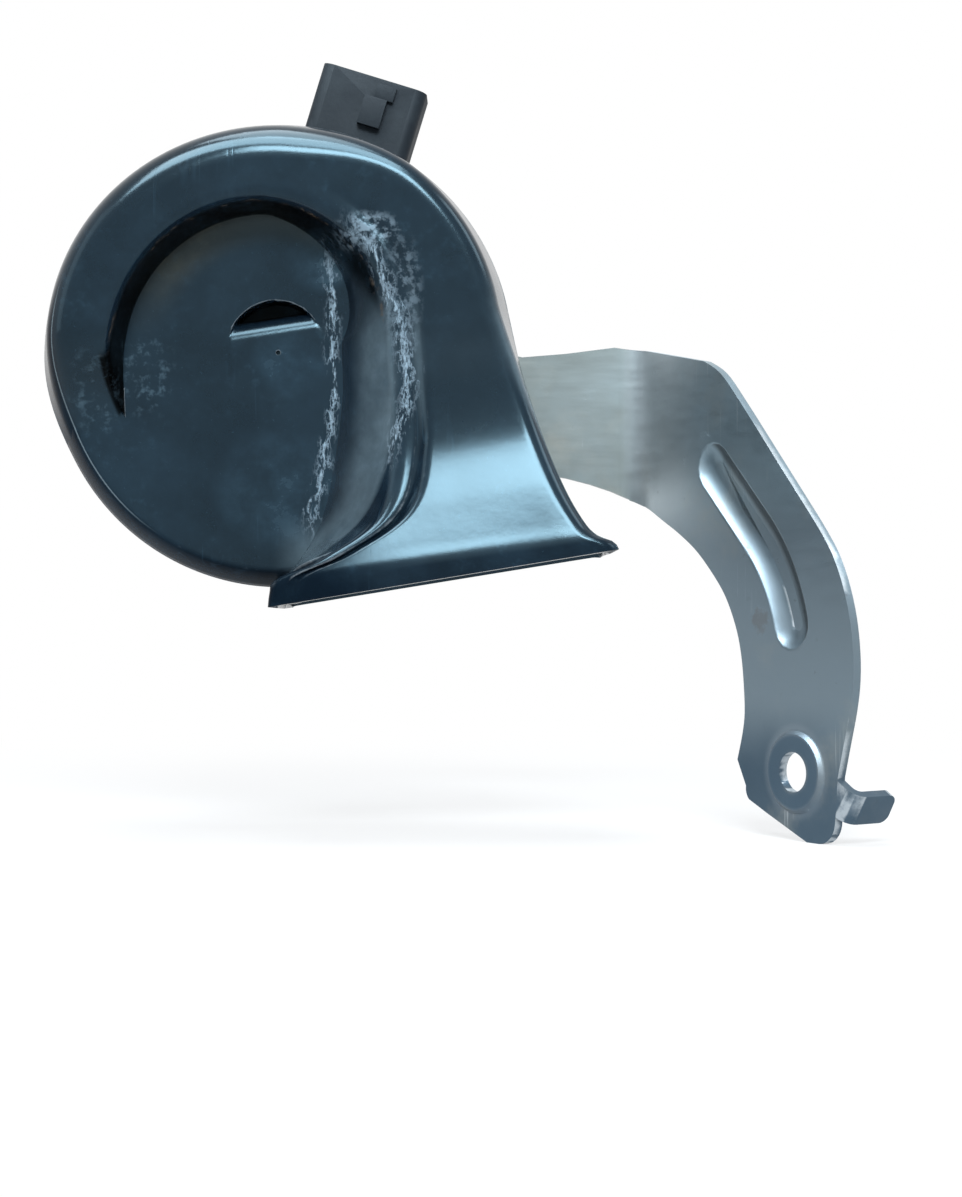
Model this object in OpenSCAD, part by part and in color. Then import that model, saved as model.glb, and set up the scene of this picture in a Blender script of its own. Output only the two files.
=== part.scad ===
// Snail-type disc horn on a bent steel bracket.
// The horn is laid out face up: x to the right, y up, z towards the person who looks at its face,
// with zero on the horn's axis at the flat front of the snail. It is then stood up, so that its face
// looks along -Y and its mouth opens downwards, with the centre of the bracket's bolt hole at zero.

/* [Plastic shells] */
// Radius of the seam between the two shells
seam_r = 49; // [48.5:0.1:50]
// Wall of both shells
wall = 2; // [1.6:0.1:2.4]
// Depth of the flat recessed floor behind the front of the snail
floor_depth = 13; // [12:0.5:14]
// Depth of the seam behind the front of the snail
seam_depth = 20; // [20:0.5:21]
// Radius of the sunk disc in the middle of the floor
dome_r = 9.9; // [8:0.1:11]
// Depth of the crescent pocket at the disc's upper edge
dome_sink = 4.2; // [2:0.1:4.4]
// Distance of the pocket's straight edge from the disc's middle
dome_fold = 5.6; // [5:0.1:7]
// Radius of the opening over the diaphragm
throat_r = 9; // [7:0.5:10]
// Angle at which the snail's duct begins
duct_start = 207; // [200:1:210]

/* [Steel housing] */
// Outside radius of the cup
cup_r = 34.5; // [34:0.5:35]
// Sheet thickness of the cup
cup_t = 1.2; // [1:0.1:1.4]
// Depth of the cup's outside bottom
cup_bottom = 53; // [53:0.5:54]
// Depth of the front of the diaphragm
diaphragm_depth = 31; // [31:0.1:31.2]
// Thickness of the diaphragm
diaphragm_t = 0.4; // [0.3:0.05:0.5]
// Thickness of each gasket
gasket_t = 0.4; // [0.3:0.1:0.5]
// Width of the rim that is clamped in the crimped ring
rim_w = 5.7; // [5.5:0.1:5.9]

/* [Magnet and armature] */
// Radius of the armature's plunger and of the core
plunger_r = 7; // [6:0.5:7]
// Gap between plunger and core at rest
air_gap = 0.8; // [0.75:0.05:1]
// Thread radius of the mounting stud
stud_r = 4; // [3:0.5:4]

/* [Socket] */
// Direction of the socket, from the right
socket_angle = 73; // [65:1:80]
// Width of the socket
socket_w = 23.7; // [22:0.1:26]
// Thickness of the socket
socket_t = 13; // [12:0.5:14]
// Distance of the socket's mouth from the horn's axis
socket_end = 66; // [62:0.5:70]
// Depth of the socket's middle
socket_depth = 41.5; // [41:0.1:42]

/* [Bracket] */
// Sheet thickness
sheet = 2; // [1.5:0.1:2.5]
// Width of the strip behind the horn
strip_w = 29; // [25:0.5:31]
// Distance of the bend from the horn's axis
bend_x = 78.8; // [75:0.1:82]
// Angle of the bend
bend_angle = 57; // [50:1:65]
// Inside radius of the bend
bend_r = 9; // [6:0.5:12]
// Radius of the bolt hole
hole_r = 4.2; // [3.2:0.1:4.5]
// Distance of the bolt hole from the bend, along the arm
hole_u = 53.6; // [50:0.1:56]
// Height of the bolt hole below the horn's axis
hole_drop = 87.7; // [84:0.1:90]
// Height of the raised ring around the bolt hole
boss_h = 0.9; // [0.4:0.1:1.2]
// Length of the turned-back locating tab
tab_len = 11.5; // [8:0.5:14]
// Width of the locating tab
tab_w = 6.8; // [5:0.1:8]

/* [Hidden] */
$fn = 64;

plastic = [0.045, 0.047, 0.055];
black_paint = [0.03, 0.03, 0.03];
zinc = [0.62, 0.65, 0.69];
steel = [0.55, 0.56, 0.58];
brass = [0.75, 0.6, 0.3];

clamp_r = cup_r + rim_w;
floor_z = -floor_depth;
seam_z = -seam_depth;
plate_z = seam_z - wall;
front_gasket_z = -diaphragm_depth;
foot_z = front_gasket_z + gasket_t;
foot_t = 1.8;
dome_tilt = 8.9;
diaphragm_back = -diaphragm_depth - diaphragm_t;
flange_z = diaphragm_back - gasket_t;
ring_lip = 1;
ring_front = foot_z + foot_t + ring_lip;
ring_back = flange_z - cup_t - ring_lip;
ring_gap = 0.4;
ring_r = clamp_r + ring_gap + ring_lip;
skirt_r = clamp_r - 2.2;
cup_inside = cup_r - cup_t;
cup_floor = -cup_bottom + cup_t;
stud_end = cup_bottom + 13;
stud_root = 4;

// Heights of the moving parts, all measured on the axis
shoulder_t = 1.6;
washer_t = 1.2;
neck_r = 3;
shoulder_r = 10;
bobbin_front = -40;
plunger_end = -41.3;
core_front = plunger_end - air_gap;
bobbin_r = cup_inside - 15.8;
pusher_r = bobbin_r - 1;
leaf_t = 0.4;
leaf_top = -38.2;
push_gap = 0.1;

// Blades of the socket and the contact stack that sits on the left one
blade_w = 6.3;
blade_t = 0.8;
blade_pitch = 11;
blade_z = -socket_depth;
blade_top = blade_z + blade_t / 2;
stack_in = bobbin_r + 7;
stack_out = stack_in + 4;
blade_in = stack_in - 0.5;
blade_tip = socket_end - 5;
leaf_w = 4;
arm_t = 1;
arm_z = -36.6;
button_r = 1.5;
button_at = stack_in - 4;
screw_at = [button_at + 0.1, -0.4];
screw_r = 2;

// The strip's front face lies on the back of the housing
strip_z = -cup_bottom;
stud_hole = 4.2;
bead_r = 7.5;
bead_sink = 2.2;
tab_tilt = 30;
tab_bend = 1.5;
tab_root = [66, -92.4];
hole_at = [hole_u, -hole_drop];

// Bolt hole in the horn's axes, in the middle of the sheet's thickness
mid_sheet = boss_h - sheet / 2;
hole_x = bend_x + hole_u * cos(bend_angle) - mid_sheet * sin(bend_angle);
hole_z = strip_z + hole_u * sin(bend_angle) + mid_sheet * cos(bend_angle);

function polar(r, a) = [r * cos(a), r * sin(a)];
function arc(c, r, a0, a1, n = 10) = [for (i = [0 : n]) c + polar(r, a0 + (a1 - a0) * i / n)];
function mix(a, b, t) = a + (b - a) * t;
// Smooth curve through all the points p, in n steps from each to the next
function curve(p, n = 4) = concat([for (i = [0 : len(p) - 2], j = [0 : n - 1])
    let (a = p[max(i - 1, 0)], b = p[i], c = p[i + 1], d = p[min(i + 2, len(p) - 1)], t = j / n)
    (2 * b + (c - a) * t + (2 * a - 5 * b + 4 * c - d) * t * t + (3 * b - a - 3 * c + d) * t * t * t) / 2],
    [p[len(p) - 1]]);
function unit(v) = v / norm(v);

// One station of the duct: foot and crest of the inner wall, crest and foot of the outer wall,
// height of the front and depth of the rear.
function duct_share(a) = (duct_start - a) / (duct_start - 10);
function inner_crest(a) = a > 95 ? mix(29.8, 33.5, (a - 95) / (duct_start - 95)) : mix(24.6, 29.8, (a - 10) / 85);
function inner_foot(a) = a > 95 ? inner_crest(a) - 1.6 : mix(11.2, 28.2, (a - 10) / 85);
function front_height(a) = -(floor_depth - 0.5) * (1 - sin(90 * min(1, (duct_start - a) / 97)));
function ring_station(a) = [polar(inner_foot(a), a), polar(inner_crest(a), a), polar(46.6, a), polar(48, a),
    front_height(a), mix(-22, -27.2, duct_share(a))];

ring_steps = 13;
ring_part = [for (i = [0 : ring_steps]) ring_station(mix(duct_start, 10, i / ring_steps))];
flare_part = [
    [[11, -9.5], [25, -7.2], [49.8, -3], [51.2, -2.8], 0, -27.2],
    [[9, -24], [25.5, -21.5], [54.4, -16.5], [55.6, -16.3], 1.2, -27.2],
    [[6.8, -36], [22, -35], [59.2, -28.5], [60.2, -28.3], 4.2, -27.2],
    [[3, -45.5], [10, -44.6], [63.4, -37], [64, -36.9], 5.8, -31],
    [[-0.5, -50], [0.5, -49.8], [67, -38.8], [67.6, -38.7], 6.8, -33],
    [[-1.2, -53.6], [-0.4, -53.4], [69.6, -41.6], [70, -41.5], 7.6, -34]];
duct_size = seam_r / 49;
stations = [for (s = concat(ring_part, flare_part)) [for (i = [0 : 5]) i < 4 ? s[i] * duct_size : s[i]]];
past_mouth = [0.1, -0.6];

function at(p, z) = [p[0], p[1], z];

// Half section at a station: skin 0 is the outside, and a wall's thickness goes to the inside
function half_section(s, far, near, skin) =
    let (d = unit(s[2] - s[1]), r = 2.2, k = sign(far - near), top = far - k * skin,
        foot = s[0] + 1.2 * skin * d, crest = s[1] + 1.2 * skin * d,
        out = s[2] - skin * d, heel = s[3] - skin * d)
    [at(foot, near), at(foot, near + k * min(abs(top - near), seam_depth - floor_depth) * 0.6),
        at(crest, top - k * 0.6), at(crest + 0.8 * d, top), at(out - r * d, top),
        at(out - 0.3 * r * d, top - k * 0.3 * r), at(out, top - k * r), at(heel, near)];

// Joins the half sections of neighbouring stations
module duct(rear, skin) {
    near = seam_z + (skin > 0 ? (rear ? 0.05 : -0.05) : 0);
    last = len(stations) - 1;
    for (i = [0 : last - 1]) {
        a = stations[i];
        b = stations[i + 1];
        past = skin > 0 && i == last - 1 ? past_mouth : [0, 0];
        end = [b[0] + past, b[1] + past, b[2] + past, b[3] + past, b[4], b[5]];
        points = concat(half_section(a, rear ? a[5] : a[4], near, skin),
            half_section(end, rear ? b[5] : b[4], near, skin));
        hull() polyhedron(points, [for (j = [0 : len(points) - 3]) [j, j + 1, j + 2]]);
    }
}

// Room between the floor and the throat, inside the duct's inner wall
module chamber_outline() {
    polygon(concat(
        [for (a = [duct_start : -16.4 : 10]) polar(inner_foot(a) * duct_size - wall, a)],
        duct_size * [[9, -9.5], [7, -24], [4.8, -35], [2, -44]],
        arc([0, 0], seam_r - 3 * wall / 2 - 1, 272, duct_start, 8)));
}

module stand_up() {
    translate([-hole_x, hole_z, hole_drop]) rotate([90, 0, 0]) children();
}

module front_shell() {
    color(plastic) stand_up() difference() {
        union() {
            duct(false, 0);
            translate([0, 0, seam_z]) cylinder(r1 = seam_r, r2 = seam_r - 2.4, h = seam_depth - floor_depth);
        }
        duct(false, wall);
        difference() {
            translate([0, 0, seam_z - 1]) linear_extrude(floor_z - wall - seam_z + 1) chamber_outline();
            translate([0, 0, seam_z + 1.5]) cylinder(r = dome_r + wall, h = 10);
            duct(false, 0);
        }
        // crescent pocket at the upper edge of the sunk disc, behind a straight fold
        intersection() {
            translate([0, 0, floor_z - dome_sink]) cylinder(r = dome_r, h = 10);
            rotate([0, 0, dome_tilt]) translate([-20, dome_fold, floor_z - 8]) cube([40, 20, 12]);
        }
        translate([0, 0, floor_z - 2.2]) cylinder(r = 0.5, h = 4);
    }
}

module rear_shell() {
    color(plastic) stand_up() difference() {
        union() {
            duct(true, 0);
            translate([0, 0, plate_z]) cylinder(r = seam_r, h = wall);
            translate([0, 0, foot_z]) cylinder(r = skirt_r, h = plate_z - foot_z + 0.5);
            translate([0, 0, foot_z]) cylinder(r = clamp_r, h = foot_t);
        }
        difference() {
            translate([0, 0, foot_z - 1]) cylinder(r = skirt_r - wall, h = plate_z - foot_z + 1);
            duct(true, 0);
        }
        duct(true, wall);
        translate([0, 0, plate_z - 8]) cylinder(r = throat_r, h = 12);
    }
}

module steel_housing() {
    bend = 3;
    color(black_paint) stand_up() difference() {
        rotate_extrude() polygon(concat(
            [[clamp_r, flange_z], [clamp_r, flange_z - cup_t]],
            [[cup_r + 0.8, flange_z - cup_t], [cup_r, flange_z - cup_t - 0.8]],
            arc([cup_r - bend, -cup_bottom + bend], bend, 0, -90, 6),
            [[0, -cup_bottom], [0, cup_floor]],
            arc([cup_r - bend, -cup_bottom + bend], bend - cup_t, -90, 0, 6),
            [[cup_inside, flange_z]]));
        translate([0, 0, -cup_bottom - 1]) cylinder(r = stud_r, h = 5);
        in_socket_axes() {
            translate([screw_at[0], screw_at[1], -cup_bottom - 1]) cylinder(r = screw_r + 0.1, h = 4);
            translate([cup_r - 8, -9.2, blade_z - 2.2]) cube([12, 18.4, 4.4]);
            rivet_places() cylinder(r = 1.55, h = 20, center = true);
        }
    }
}

module crimp_ring() {
    inner = clamp_r - 2;
    color(black_paint) stand_up() rotate_extrude() polygon([
        [inner, ring_front - ring_lip], [inner, ring_front - 0.2], [inner + 0.2, ring_front],
        [ring_r - 0.8, ring_front], [ring_r, ring_front - 0.8],
        [ring_r, ring_back + 0.8], [ring_r - 0.8, ring_back], [inner, ring_back],
        [inner, ring_back + ring_lip], [ring_r - ring_lip, ring_back + ring_lip],
        [ring_r - ring_lip, ring_front - ring_lip]]);
}

module washer(r_out, r_in, z0, z1) {
    translate([0, 0, z0]) difference() {
        cylinder(r = r_out, h = z1 - z0);
        translate([0, 0, -1]) cylinder(r = r_in, h = z1 - z0 + 2);
    }
}

module diaphragm() {
    color(steel) stand_up() washer(clamp_r, neck_r + 0.1, diaphragm_back, front_gasket_z);
}

module diaphragm_gasket() {
    color([0.25, 0.2, 0.15]) stand_up() washer(clamp_r, skirt_r - wall + 0.2, front_gasket_z, foot_z);
}

module housing_gasket() {
    color([0.25, 0.2, 0.15]) stand_up() washer(clamp_r, skirt_r - wall + 0.2, flange_z, diaphragm_back);
}

module armature() {
    head_z = front_gasket_z + washer_t;
    color(steel) stand_up() rotate_extrude() polygon([
        [0, plunger_end], [plunger_r - 0.4, plunger_end], [plunger_r, plunger_end + 0.4],
        [plunger_r, diaphragm_back - shoulder_t], [shoulder_r, diaphragm_back - shoulder_t],
        [shoulder_r, diaphragm_back], [neck_r, diaphragm_back], [neck_r, head_z],
        [neck_r + 2, head_z], [neck_r + 1.6, head_z + 0.8], [neck_r, head_z + 1.2], [0, head_z + 1.2]]);
}

module armature_washer() {
    color(steel) stand_up() washer(shoulder_r, neck_r + 0.1, front_gasket_z, front_gasket_z + washer_t);
}

// Insulating ring under the armature's shoulder, whose rim opens the contacts
module contact_pusher() {
    top = diaphragm_back - shoulder_t;
    rim = leaf_top + push_gap;
    color([0.5, 0.3, 0.15]) stand_up() rotate_extrude() polygon([
        [plunger_r + 0.1, top], [pusher_r, top], [pusher_r, rim], [pusher_r - 1.5, rim],
        [pusher_r - 1.5, top - 1.4], [plunger_r + 0.1, top - 1.4]]);
}

module pole_core() {
    color(steel) stand_up() difference() {
        rotate_extrude() polygon([[0, core_front], [plunger_r - 0.4, core_front],
            [plunger_r, core_front - 0.4], [plunger_r, cup_floor], [0, cup_floor]]);
        translate([0, 0, cup_floor - 1]) cylinder(r = stud_r, h = 1 + stud_root);
    }
}

module mounting_stud() {
    chamfer = 0.8;
    color(zinc) stand_up() translate([0, 0, -stud_end]) {
        cylinder(r1 = stud_r - chamfer, r2 = stud_r, h = chamfer);
        translate([0, 0, chamfer]) cylinder(r = stud_r, h = stud_end + cup_floor + stud_root - chamfer);
    }
}

module coil_bobbin() {
    bore = plunger_r + 0.6;
    cheek = 1;
    color([0.75, 0.72, 0.62]) stand_up() rotate_extrude() polygon([
        [bore, bobbin_front], [bobbin_r, bobbin_front], [bobbin_r, bobbin_front - cheek],
        [bore + 1, bobbin_front - cheek], [bore + 1, cup_floor + cheek], [bobbin_r, cup_floor + cheek],
        [bobbin_r, cup_floor], [bore, cup_floor]]);
}

module coil_winding() {
    color([0.6, 0.25, 0.1]) stand_up()
        washer(bobbin_r - 1, plunger_r + 1.6, cup_floor + 1, bobbin_front - 1);
}

module in_socket_axes() {
    rotate([0, 0, socket_angle]) children();
}

module rod(p, q, r) {
    v = q - p;
    translate(p) rotate([0, acos(v[2] / norm(v)), atan2(v[1], v[0])]) cylinder(r = r, h = norm(v));
}

// From the winding to the right-hand blade, and from the winding to the fixed contact's arm
module coil_leads() {
    wire = 0.45;
    up = arm_z + arm_t + wire;
    right_t = blade_pitch / 2;
    rise = bobbin_r + 2.5;
    color([0.6, 0.25, 0.1]) stand_up() in_socket_axes() {
        rod([bobbin_r - 1.75, right_t, blade_z - 0.8], [rise, right_t, blade_z - 0.8], wire);
        rod([rise, right_t, blade_z - 1.1], [rise, right_t, blade_top + wire], wire);
        rod([rise - 0.3, right_t, blade_top + wire], [blade_in + 2.5, right_t, blade_top + wire], wire);
        rod([bobbin_r - 2.9, -8.4, blade_z - 0.6], [rise - 0.2, -9.6, blade_z - 0.6], wire);
        rod([rise - 0.2, -9.6, blade_z - 0.8], [rise - 0.2, -9.6, up], wire);
        rod([rise - 0.2, -9.9, up], [rise + 0.8, -6, up], wire);
    }
}

// Moulded block on the floor of the cup, with the blades lying on it
module contact_base() {
    color([0.5, 0.3, 0.15]) stand_up() in_socket_axes() difference() {
        translate([stack_in - 1.5, -11, cup_floor]) cube([7, 22, blade_top - blade_t - cup_floor]);
        translate([(stack_in + stack_out) / 2, -blade_pitch / 2, blade_z - 4]) cylinder(r = 1.2, h = 10);
    }
}

module stack_plate(z0, z1, in = stack_in, width = leaf_w + 1) {
    difference() {
        translate([in, -blade_pitch / 2 - width / 2, z0]) cube([stack_out - in, width, z1 - z0]);
        translate([(stack_in + stack_out) / 2, -blade_pitch / 2, z0 - 1]) cylinder(r = 1.2, h = z1 - z0 + 2);
    }
}

module contact_spacers() {
    color([0.5, 0.3, 0.15]) stand_up() in_socket_axes() {
        stack_plate(blade_top, leaf_top - leaf_t);
        stack_plate(leaf_top, arm_z);
    }
}

// Stiff arm over the leaf, with an ear that the adjusting screw bears on
module fixed_contact_arm() {
    color(brass) stand_up() in_socket_axes() {
        stack_plate(arm_z, arm_z + arm_t, stack_in - 6.1, leaf_w);
        translate([stack_in - 6.1, -blade_pitch / 2, arm_z]) cube([4.4, 7, arm_t]);
    }
}

module moving_contact_spring() {
    color(brass) stand_up() in_socket_axes() stack_plate(leaf_top - leaf_t, leaf_top, stack_in - 9.9, leaf_w);
}

module contact_button(z0, z1) {
    translate([button_at, -blade_pitch / 2, z0]) cylinder(r = button_r, h = z1 - z0);
}

contact_face = (leaf_top + arm_z) / 2;

module fixed_contact_point() {
    color(steel) stand_up() in_socket_axes() contact_button(contact_face, arm_z);
}

module moving_contact_point() {
    color(steel) stand_up() in_socket_axes() contact_button(leaf_top, contact_face);
}

module contact_rivet() {
    color(brass) stand_up() in_socket_axes()
        translate([(stack_in + stack_out) / 2, -blade_pitch / 2, blade_z - 4]) {
            cylinder(r = 1.2, h = arm_z + arm_t - blade_z + 4);
            translate([0, 0, arm_z + arm_t - blade_z + 4]) cylinder(r1 = 1.9, r2 = 1.3, h = 0.8);
        }
}

module adjusting_screw() {
    color(zinc) stand_up() in_socket_axes() translate([screw_at[0], screw_at[1], 0]) difference() {
        translate([0, 0, -cup_bottom - 2.5]) cylinder(r = screw_r, h = arm_z + cup_bottom + 2.5);
        translate([-3, -0.4, -cup_bottom - 3]) cube([6, 0.8, 1.5]);
    }
}

module resistor() {
    r = 1.6;
    wire = 0.35;
    z = blade_top + r + 0.1;
    half = blade_pitch / 2 + 0.7;
    out = cup_inside - 2.7;
    color([0.2, 0.35, 0.3]) stand_up() in_socket_axes() {
        rod([out, -4.5, z], [out, 4.5, z], r);
        for (side = [-1, 1]) {
            rod([out, side * 4, z], [out, side * (half + wire), z], wire);
            rod([out, side * half, z], [out, side * half, blade_top], wire);
        }
    }
}

module terminal_pin(side) {
    tip = blade_tip;
    t = side * blade_pitch / 2;
    color(brass) stand_up() in_socket_axes() difference() {
        translate([0, t, blade_z - blade_t / 2]) linear_extrude(blade_t) polygon([
            [blade_in, -blade_w / 2], [tip - 1.2, -blade_w / 2], [tip, -blade_w / 2 + 1.2],
            [tip, blade_w / 2 - 1.2], [tip - 1.2, blade_w / 2], [blade_in, blade_w / 2]]);
        if (side < 0)
            translate([(stack_in + stack_out) / 2, t, blade_z - 1]) cylinder(r = 1.2, h = 2);
        translate([tip - 5, t, blade_z - 1]) cylinder(r = 0.9, h = 2);
    }
}

module terminal_pin_left() {
    terminal_pin(-1);
}

module terminal_pin_right() {
    terminal_pin(1);
}

module rounded_bar(w, t, r, h) {
    linear_extrude(h) {
        square([w - 2 * r, t], center = true);
        square([w, t - 2 * r], center = true);
        for (x = [-1, 1], y = [-1, 1]) translate([x * (w / 2 - r), y * (t / 2 - r)]) circle(r);
    }
}

// Rivets run parallel to the socket, through its saddle and the cup's wall
module rivet_places() {
    for (side = [-1, 1]) translate([cup_r, side * rivet_y, blade_z]) rotate([0, 90, 0]) children();
}

saddle_out = cup_r + 4;
saddle_in = cup_r - 5.5;
rivet_y = socket_w / 2 + 3.15;
saddle_w = 2 * rivet_y + 8;
saddle_t = 9;
seal_t = 0.8;
shroud_floor = socket_end - 19;

module connector_housing() {
    shroud_wall = 1.9;
    color(plastic) stand_up() in_socket_axes() difference() {
        union() {
            translate([saddle_in, 0, blade_z]) rotate([0, 90, 0])
                rounded_bar(socket_t, socket_w, 2.6, socket_end - saddle_in);
            translate([saddle_in, -saddle_w / 2, blade_z - saddle_t / 2])
                cube([saddle_out - saddle_in, saddle_w, saddle_t]);
            // latch lug on the face, and the small catch beside it
            translate([socket_end - 11, -4.2, blade_z + socket_t / 2 - 0.5]) cube([6.4, 5, 2.4]);
            translate([socket_end - 4.5, -5.4, blade_z + socket_t / 2 - 0.5]) cube([3.2, 4.2, 1.5]);
        }
        difference() {
            translate([0, 0, -60]) cylinder(r = cup_r + seal_t, h = 40);
            translate([saddle_in, -9, blade_z - 2]) cube([8, 18, 4]);
        }
        translate([saddle_in - 1, -9, blade_z - 2]) cube([4.6, 18, 4]);
        translate([shroud_floor, 0, blade_z]) rotate([0, 90, 0])
            rounded_bar(socket_t - 2 * shroud_wall, socket_w - 2 * shroud_wall, 1.4, 30);
        for (side = [-1, 1]) translate([saddle_in, side * blade_pitch / 2 - blade_w / 2, blade_z - blade_t / 2])
            cube([shroud_floor + 7 - saddle_in, blade_w, blade_t]);
        rivet_places() cylinder(r = 1.55, h = 30, center = true);
    }
}

// Rubber pad between saddle and cup
module connector_seal() {
    color([0.06, 0.06, 0.06]) stand_up() in_socket_axes() difference() {
        intersection() {
            washer(cup_r + seal_t, cup_r, blade_z - saddle_t / 2, blade_z + saddle_t / 2);
            translate([cup_r / 2, -saddle_w / 2, blade_z - saddle_t]) cube([cup_r, saddle_w, 2 * saddle_t]);
        }
        translate([cup_r / 2, -9, blade_z - 2]) cube([cup_r, 18, 4]);
        rivet_places() cylinder(r = 1.55, h = 20, center = true);
    }
}

module connector_rivets() {
    color(zinc) stand_up() in_socket_axes() {
        rivet_places() translate([0, 0, -6.2]) cylinder(r = 1.5, h = 6.2 + saddle_out - cup_r);
        rivet_places() translate([0, 0, saddle_out - cup_r]) cylinder(r1 = 2.8, r2 = 2, h = 1.2);
        intersection() {
            rivet_places() translate([0, 0, -7]) cylinder(r = 2.4, h = 6);
            translate([0, 0, -60]) cylinder(r = cup_inside - 0.02, h = 60);
        }
    }
}

module mounting_nut() {
    color(zinc) stand_up() translate([0, 0, strip_z - sheet - 2 - 6.5]) difference() {
        cylinder(r = 13 / sqrt(3), h = 6.5, $fn = 6);
        translate([0, 0, -1]) cylinder(r = stud_r, h = 9);
    }
}

module spring_washer() {
    color(zinc) stand_up() translate([0, 0, strip_z - sheet - 2]) difference() {
        cylinder(r = 7.4, h = 2);
        translate([0, 0, -1]) cylinder(r = stud_r + 0.2, h = 4);
        rotate([0, 0, 200]) translate([0, -0.6, -1]) cube([12, 1.2, 4]);
    }
}

module on_arm() {
    translate([bend_x, 0, strip_z]) rotate([0, -bend_angle, 0]) children();
}

// Plan of the whole sheet, seen along the bend
module sheet_profile() {
    c = [bend_x - bend_r * tan(bend_angle / 2), strip_z + bend_r];
    far = 80 * [cos(bend_angle), sin(bend_angle)];
    out = sheet * [sin(bend_angle), -cos(bend_angle)];
    corner = [bend_x, strip_z];
    polygon(concat([[-20, strip_z]], arc(c, bend_r, -90, bend_angle - 90, 12), [corner + far, corner + far + out],
        arc(c, bend_r + sheet, bend_angle - 90, -90, 12), [[-20, strip_z - sheet]]));
}

// The strip runs slightly downhill from the stud and widens at the bend
module strip_outline() {
    half = strip_w / 2;
    polygon(concat(arc([0, 0], half, 80, 260, 20),
        [[62, -24.2], [67.4, -25.6], [72.2, -27.2], [77, -29.3], [bend_x + 1, -30.7],
        [bend_x + 1, 4.6], [73, 5.6], [62, 4.2], [52, 3.4]]));
}

// Edge of the arm from the bend outwards: along the top, down the long slope, round the foot and back
module arm_outline() {
    polygon(concat([[-1, 5], [2.4, 4.6], [14, 2.3]],
        curve([[23.2, 0.4], [28.8, -2.6], [35.1, -8.9], [47.5, -22.6], [61.3, -38], [66.3, -45.4], [69.4, -53.5],
        [70.8, -61], [71, -68], [70, -74.5], [67.9, -82.3], [66.4, -88]]),
        arc([60.6, -97], 5, 0, -90, 10), [[57, -102], [44.5, -97]],
        arc([40.5, -92.2], 3, 230, 170, 7),
        curve([[34.7, -86.2], [36.4, -80.5], [37.1, -76], [36.8, -70], [36, -64], [34.5, -58.6], [31.6, -52.7],
        [28, -48], [21.2, -41.6], [14.6, -37.3], [8.7, -34.2], [5, -32.2]]),
        [[2.4, -30.8], [0.4, -29.9], [-1, -29.3]]));
}

// Pressed bead that stiffens the arm: straight, then curving downwards, with round ends
bead_path_a = [26.5, -23];
bead_path_b = [41, -37.5];
bead_turn = 42;
bead_steps = 31;
bead_c = bead_path_b + polar(bead_turn, 225);
bead_sides = [for (i = [-1 : 11]) 45 - bead_steps * max(i, 0) / 11];
bead_line = concat([bead_path_a], arc(bead_c, bead_turn, 45, 45 - bead_steps, 11));

// Outline of the bead at half the width w
function bead_loop(w, z) = let (last = len(bead_line) - 1) [for (p = concat(
    [for (i = [0 : last]) bead_line[i] + polar(w, bead_sides[i])],
    arc(bead_line[last], w, bead_sides[last] - 22.5, bead_sides[last] - 157.5, 6),
    [for (i = [last : -1 : 0]) bead_line[i] - polar(w, bead_sides[i])],
    arc(bead_line[0], w, 202.5, 67.5, 6))) at(p, z)];

// Round-bottomed trough along the path, closed at the height given
module bead_sweep(r, top) {
    lift = bead_r - bead_sink;
    edge = asin((lift - top) / r);
    levels = 6;
    loops = [for (j = [0 : levels]) let (b = mix(80, edge, j / levels)) bead_loop(r * cos(b), lift - r * sin(b))];
    m = len(loops[0]);
    polyhedron([for (one = loops) for (p = one) p], concat(
        [[for (i = [m - 1 : -1 : 0]) i], [for (i = [0 : m - 1]) levels * m + i]],
        [for (j = [0 : levels - 1], i = [0 : m - 1], half = [0, 1])
            let (a = j * m + i, b = j * m + (i + 1) % m) half == 0 ? [a, b, b + m] : [a, b + m, a + m]]));
}

// Tab at the foot of the arm, turned back through a right angle
module locating_tab() {
    c = [1, -sheet - tab_bend];
    out = tab_bend + sheet;
    translate(at(tab_root, 0)) rotate([0, 0, -tab_tilt]) intersection() {
        translate([0, tab_w / 2, 0]) rotate([90, 0, 0]) linear_extrude(tab_w) polygon(concat(
            [[-4, -sheet], [-4, 0]], arc(c, out, 90, 0, 8), [[1 + out, -tab_len]],
            [[1 + tab_bend, -tab_len]], arc(c, tab_bend, 0, 90, 8)));
        union() {
            translate([-6, -tab_w / 2, -tab_len + 2]) cube([14, tab_w, tab_len]);
            translate([-6, -tab_w / 2 + 2, -tab_len]) cube([14, tab_w - 4, tab_len]);
            for (side = [-1, 1]) translate([-6, side * (tab_w / 2 - 2), -tab_len + 2])
                rotate([0, 90, 0]) cylinder(r = 2, h = 14);
        }
    }
}

module bracket() {
    color(zinc) stand_up() difference() {
        union() {
            intersection() {
                translate([0, 30, 0]) rotate([90, 0, 0]) linear_extrude(150) sheet_profile();
                union() {
                    translate([0, 0, strip_z - 6]) linear_extrude(10) strip_outline();
                    on_arm() translate([0, 0, -8]) linear_extrude(14) arm_outline();
                }
            }
            on_arm() {
                bead_sweep(bead_r + sheet, -sheet / 2);
                translate(at(hole_at, 0)) cylinder(r1 = 8.75, r2 = 7.9, h = boss_h);
                locating_tab();
            }
        }
        on_arm() {
            bead_sweep(bead_r, 0.2);
            translate(at(hole_at, -sheet - 1)) cylinder(r = 7.2, h = 1 + boss_h);
            translate(at(hole_at, -6)) cylinder(r = hole_r, h = 12);
        }
        translate([0, 0, strip_z - 6]) cylinder(r = stud_hole, h = 12);
    }
}

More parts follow.
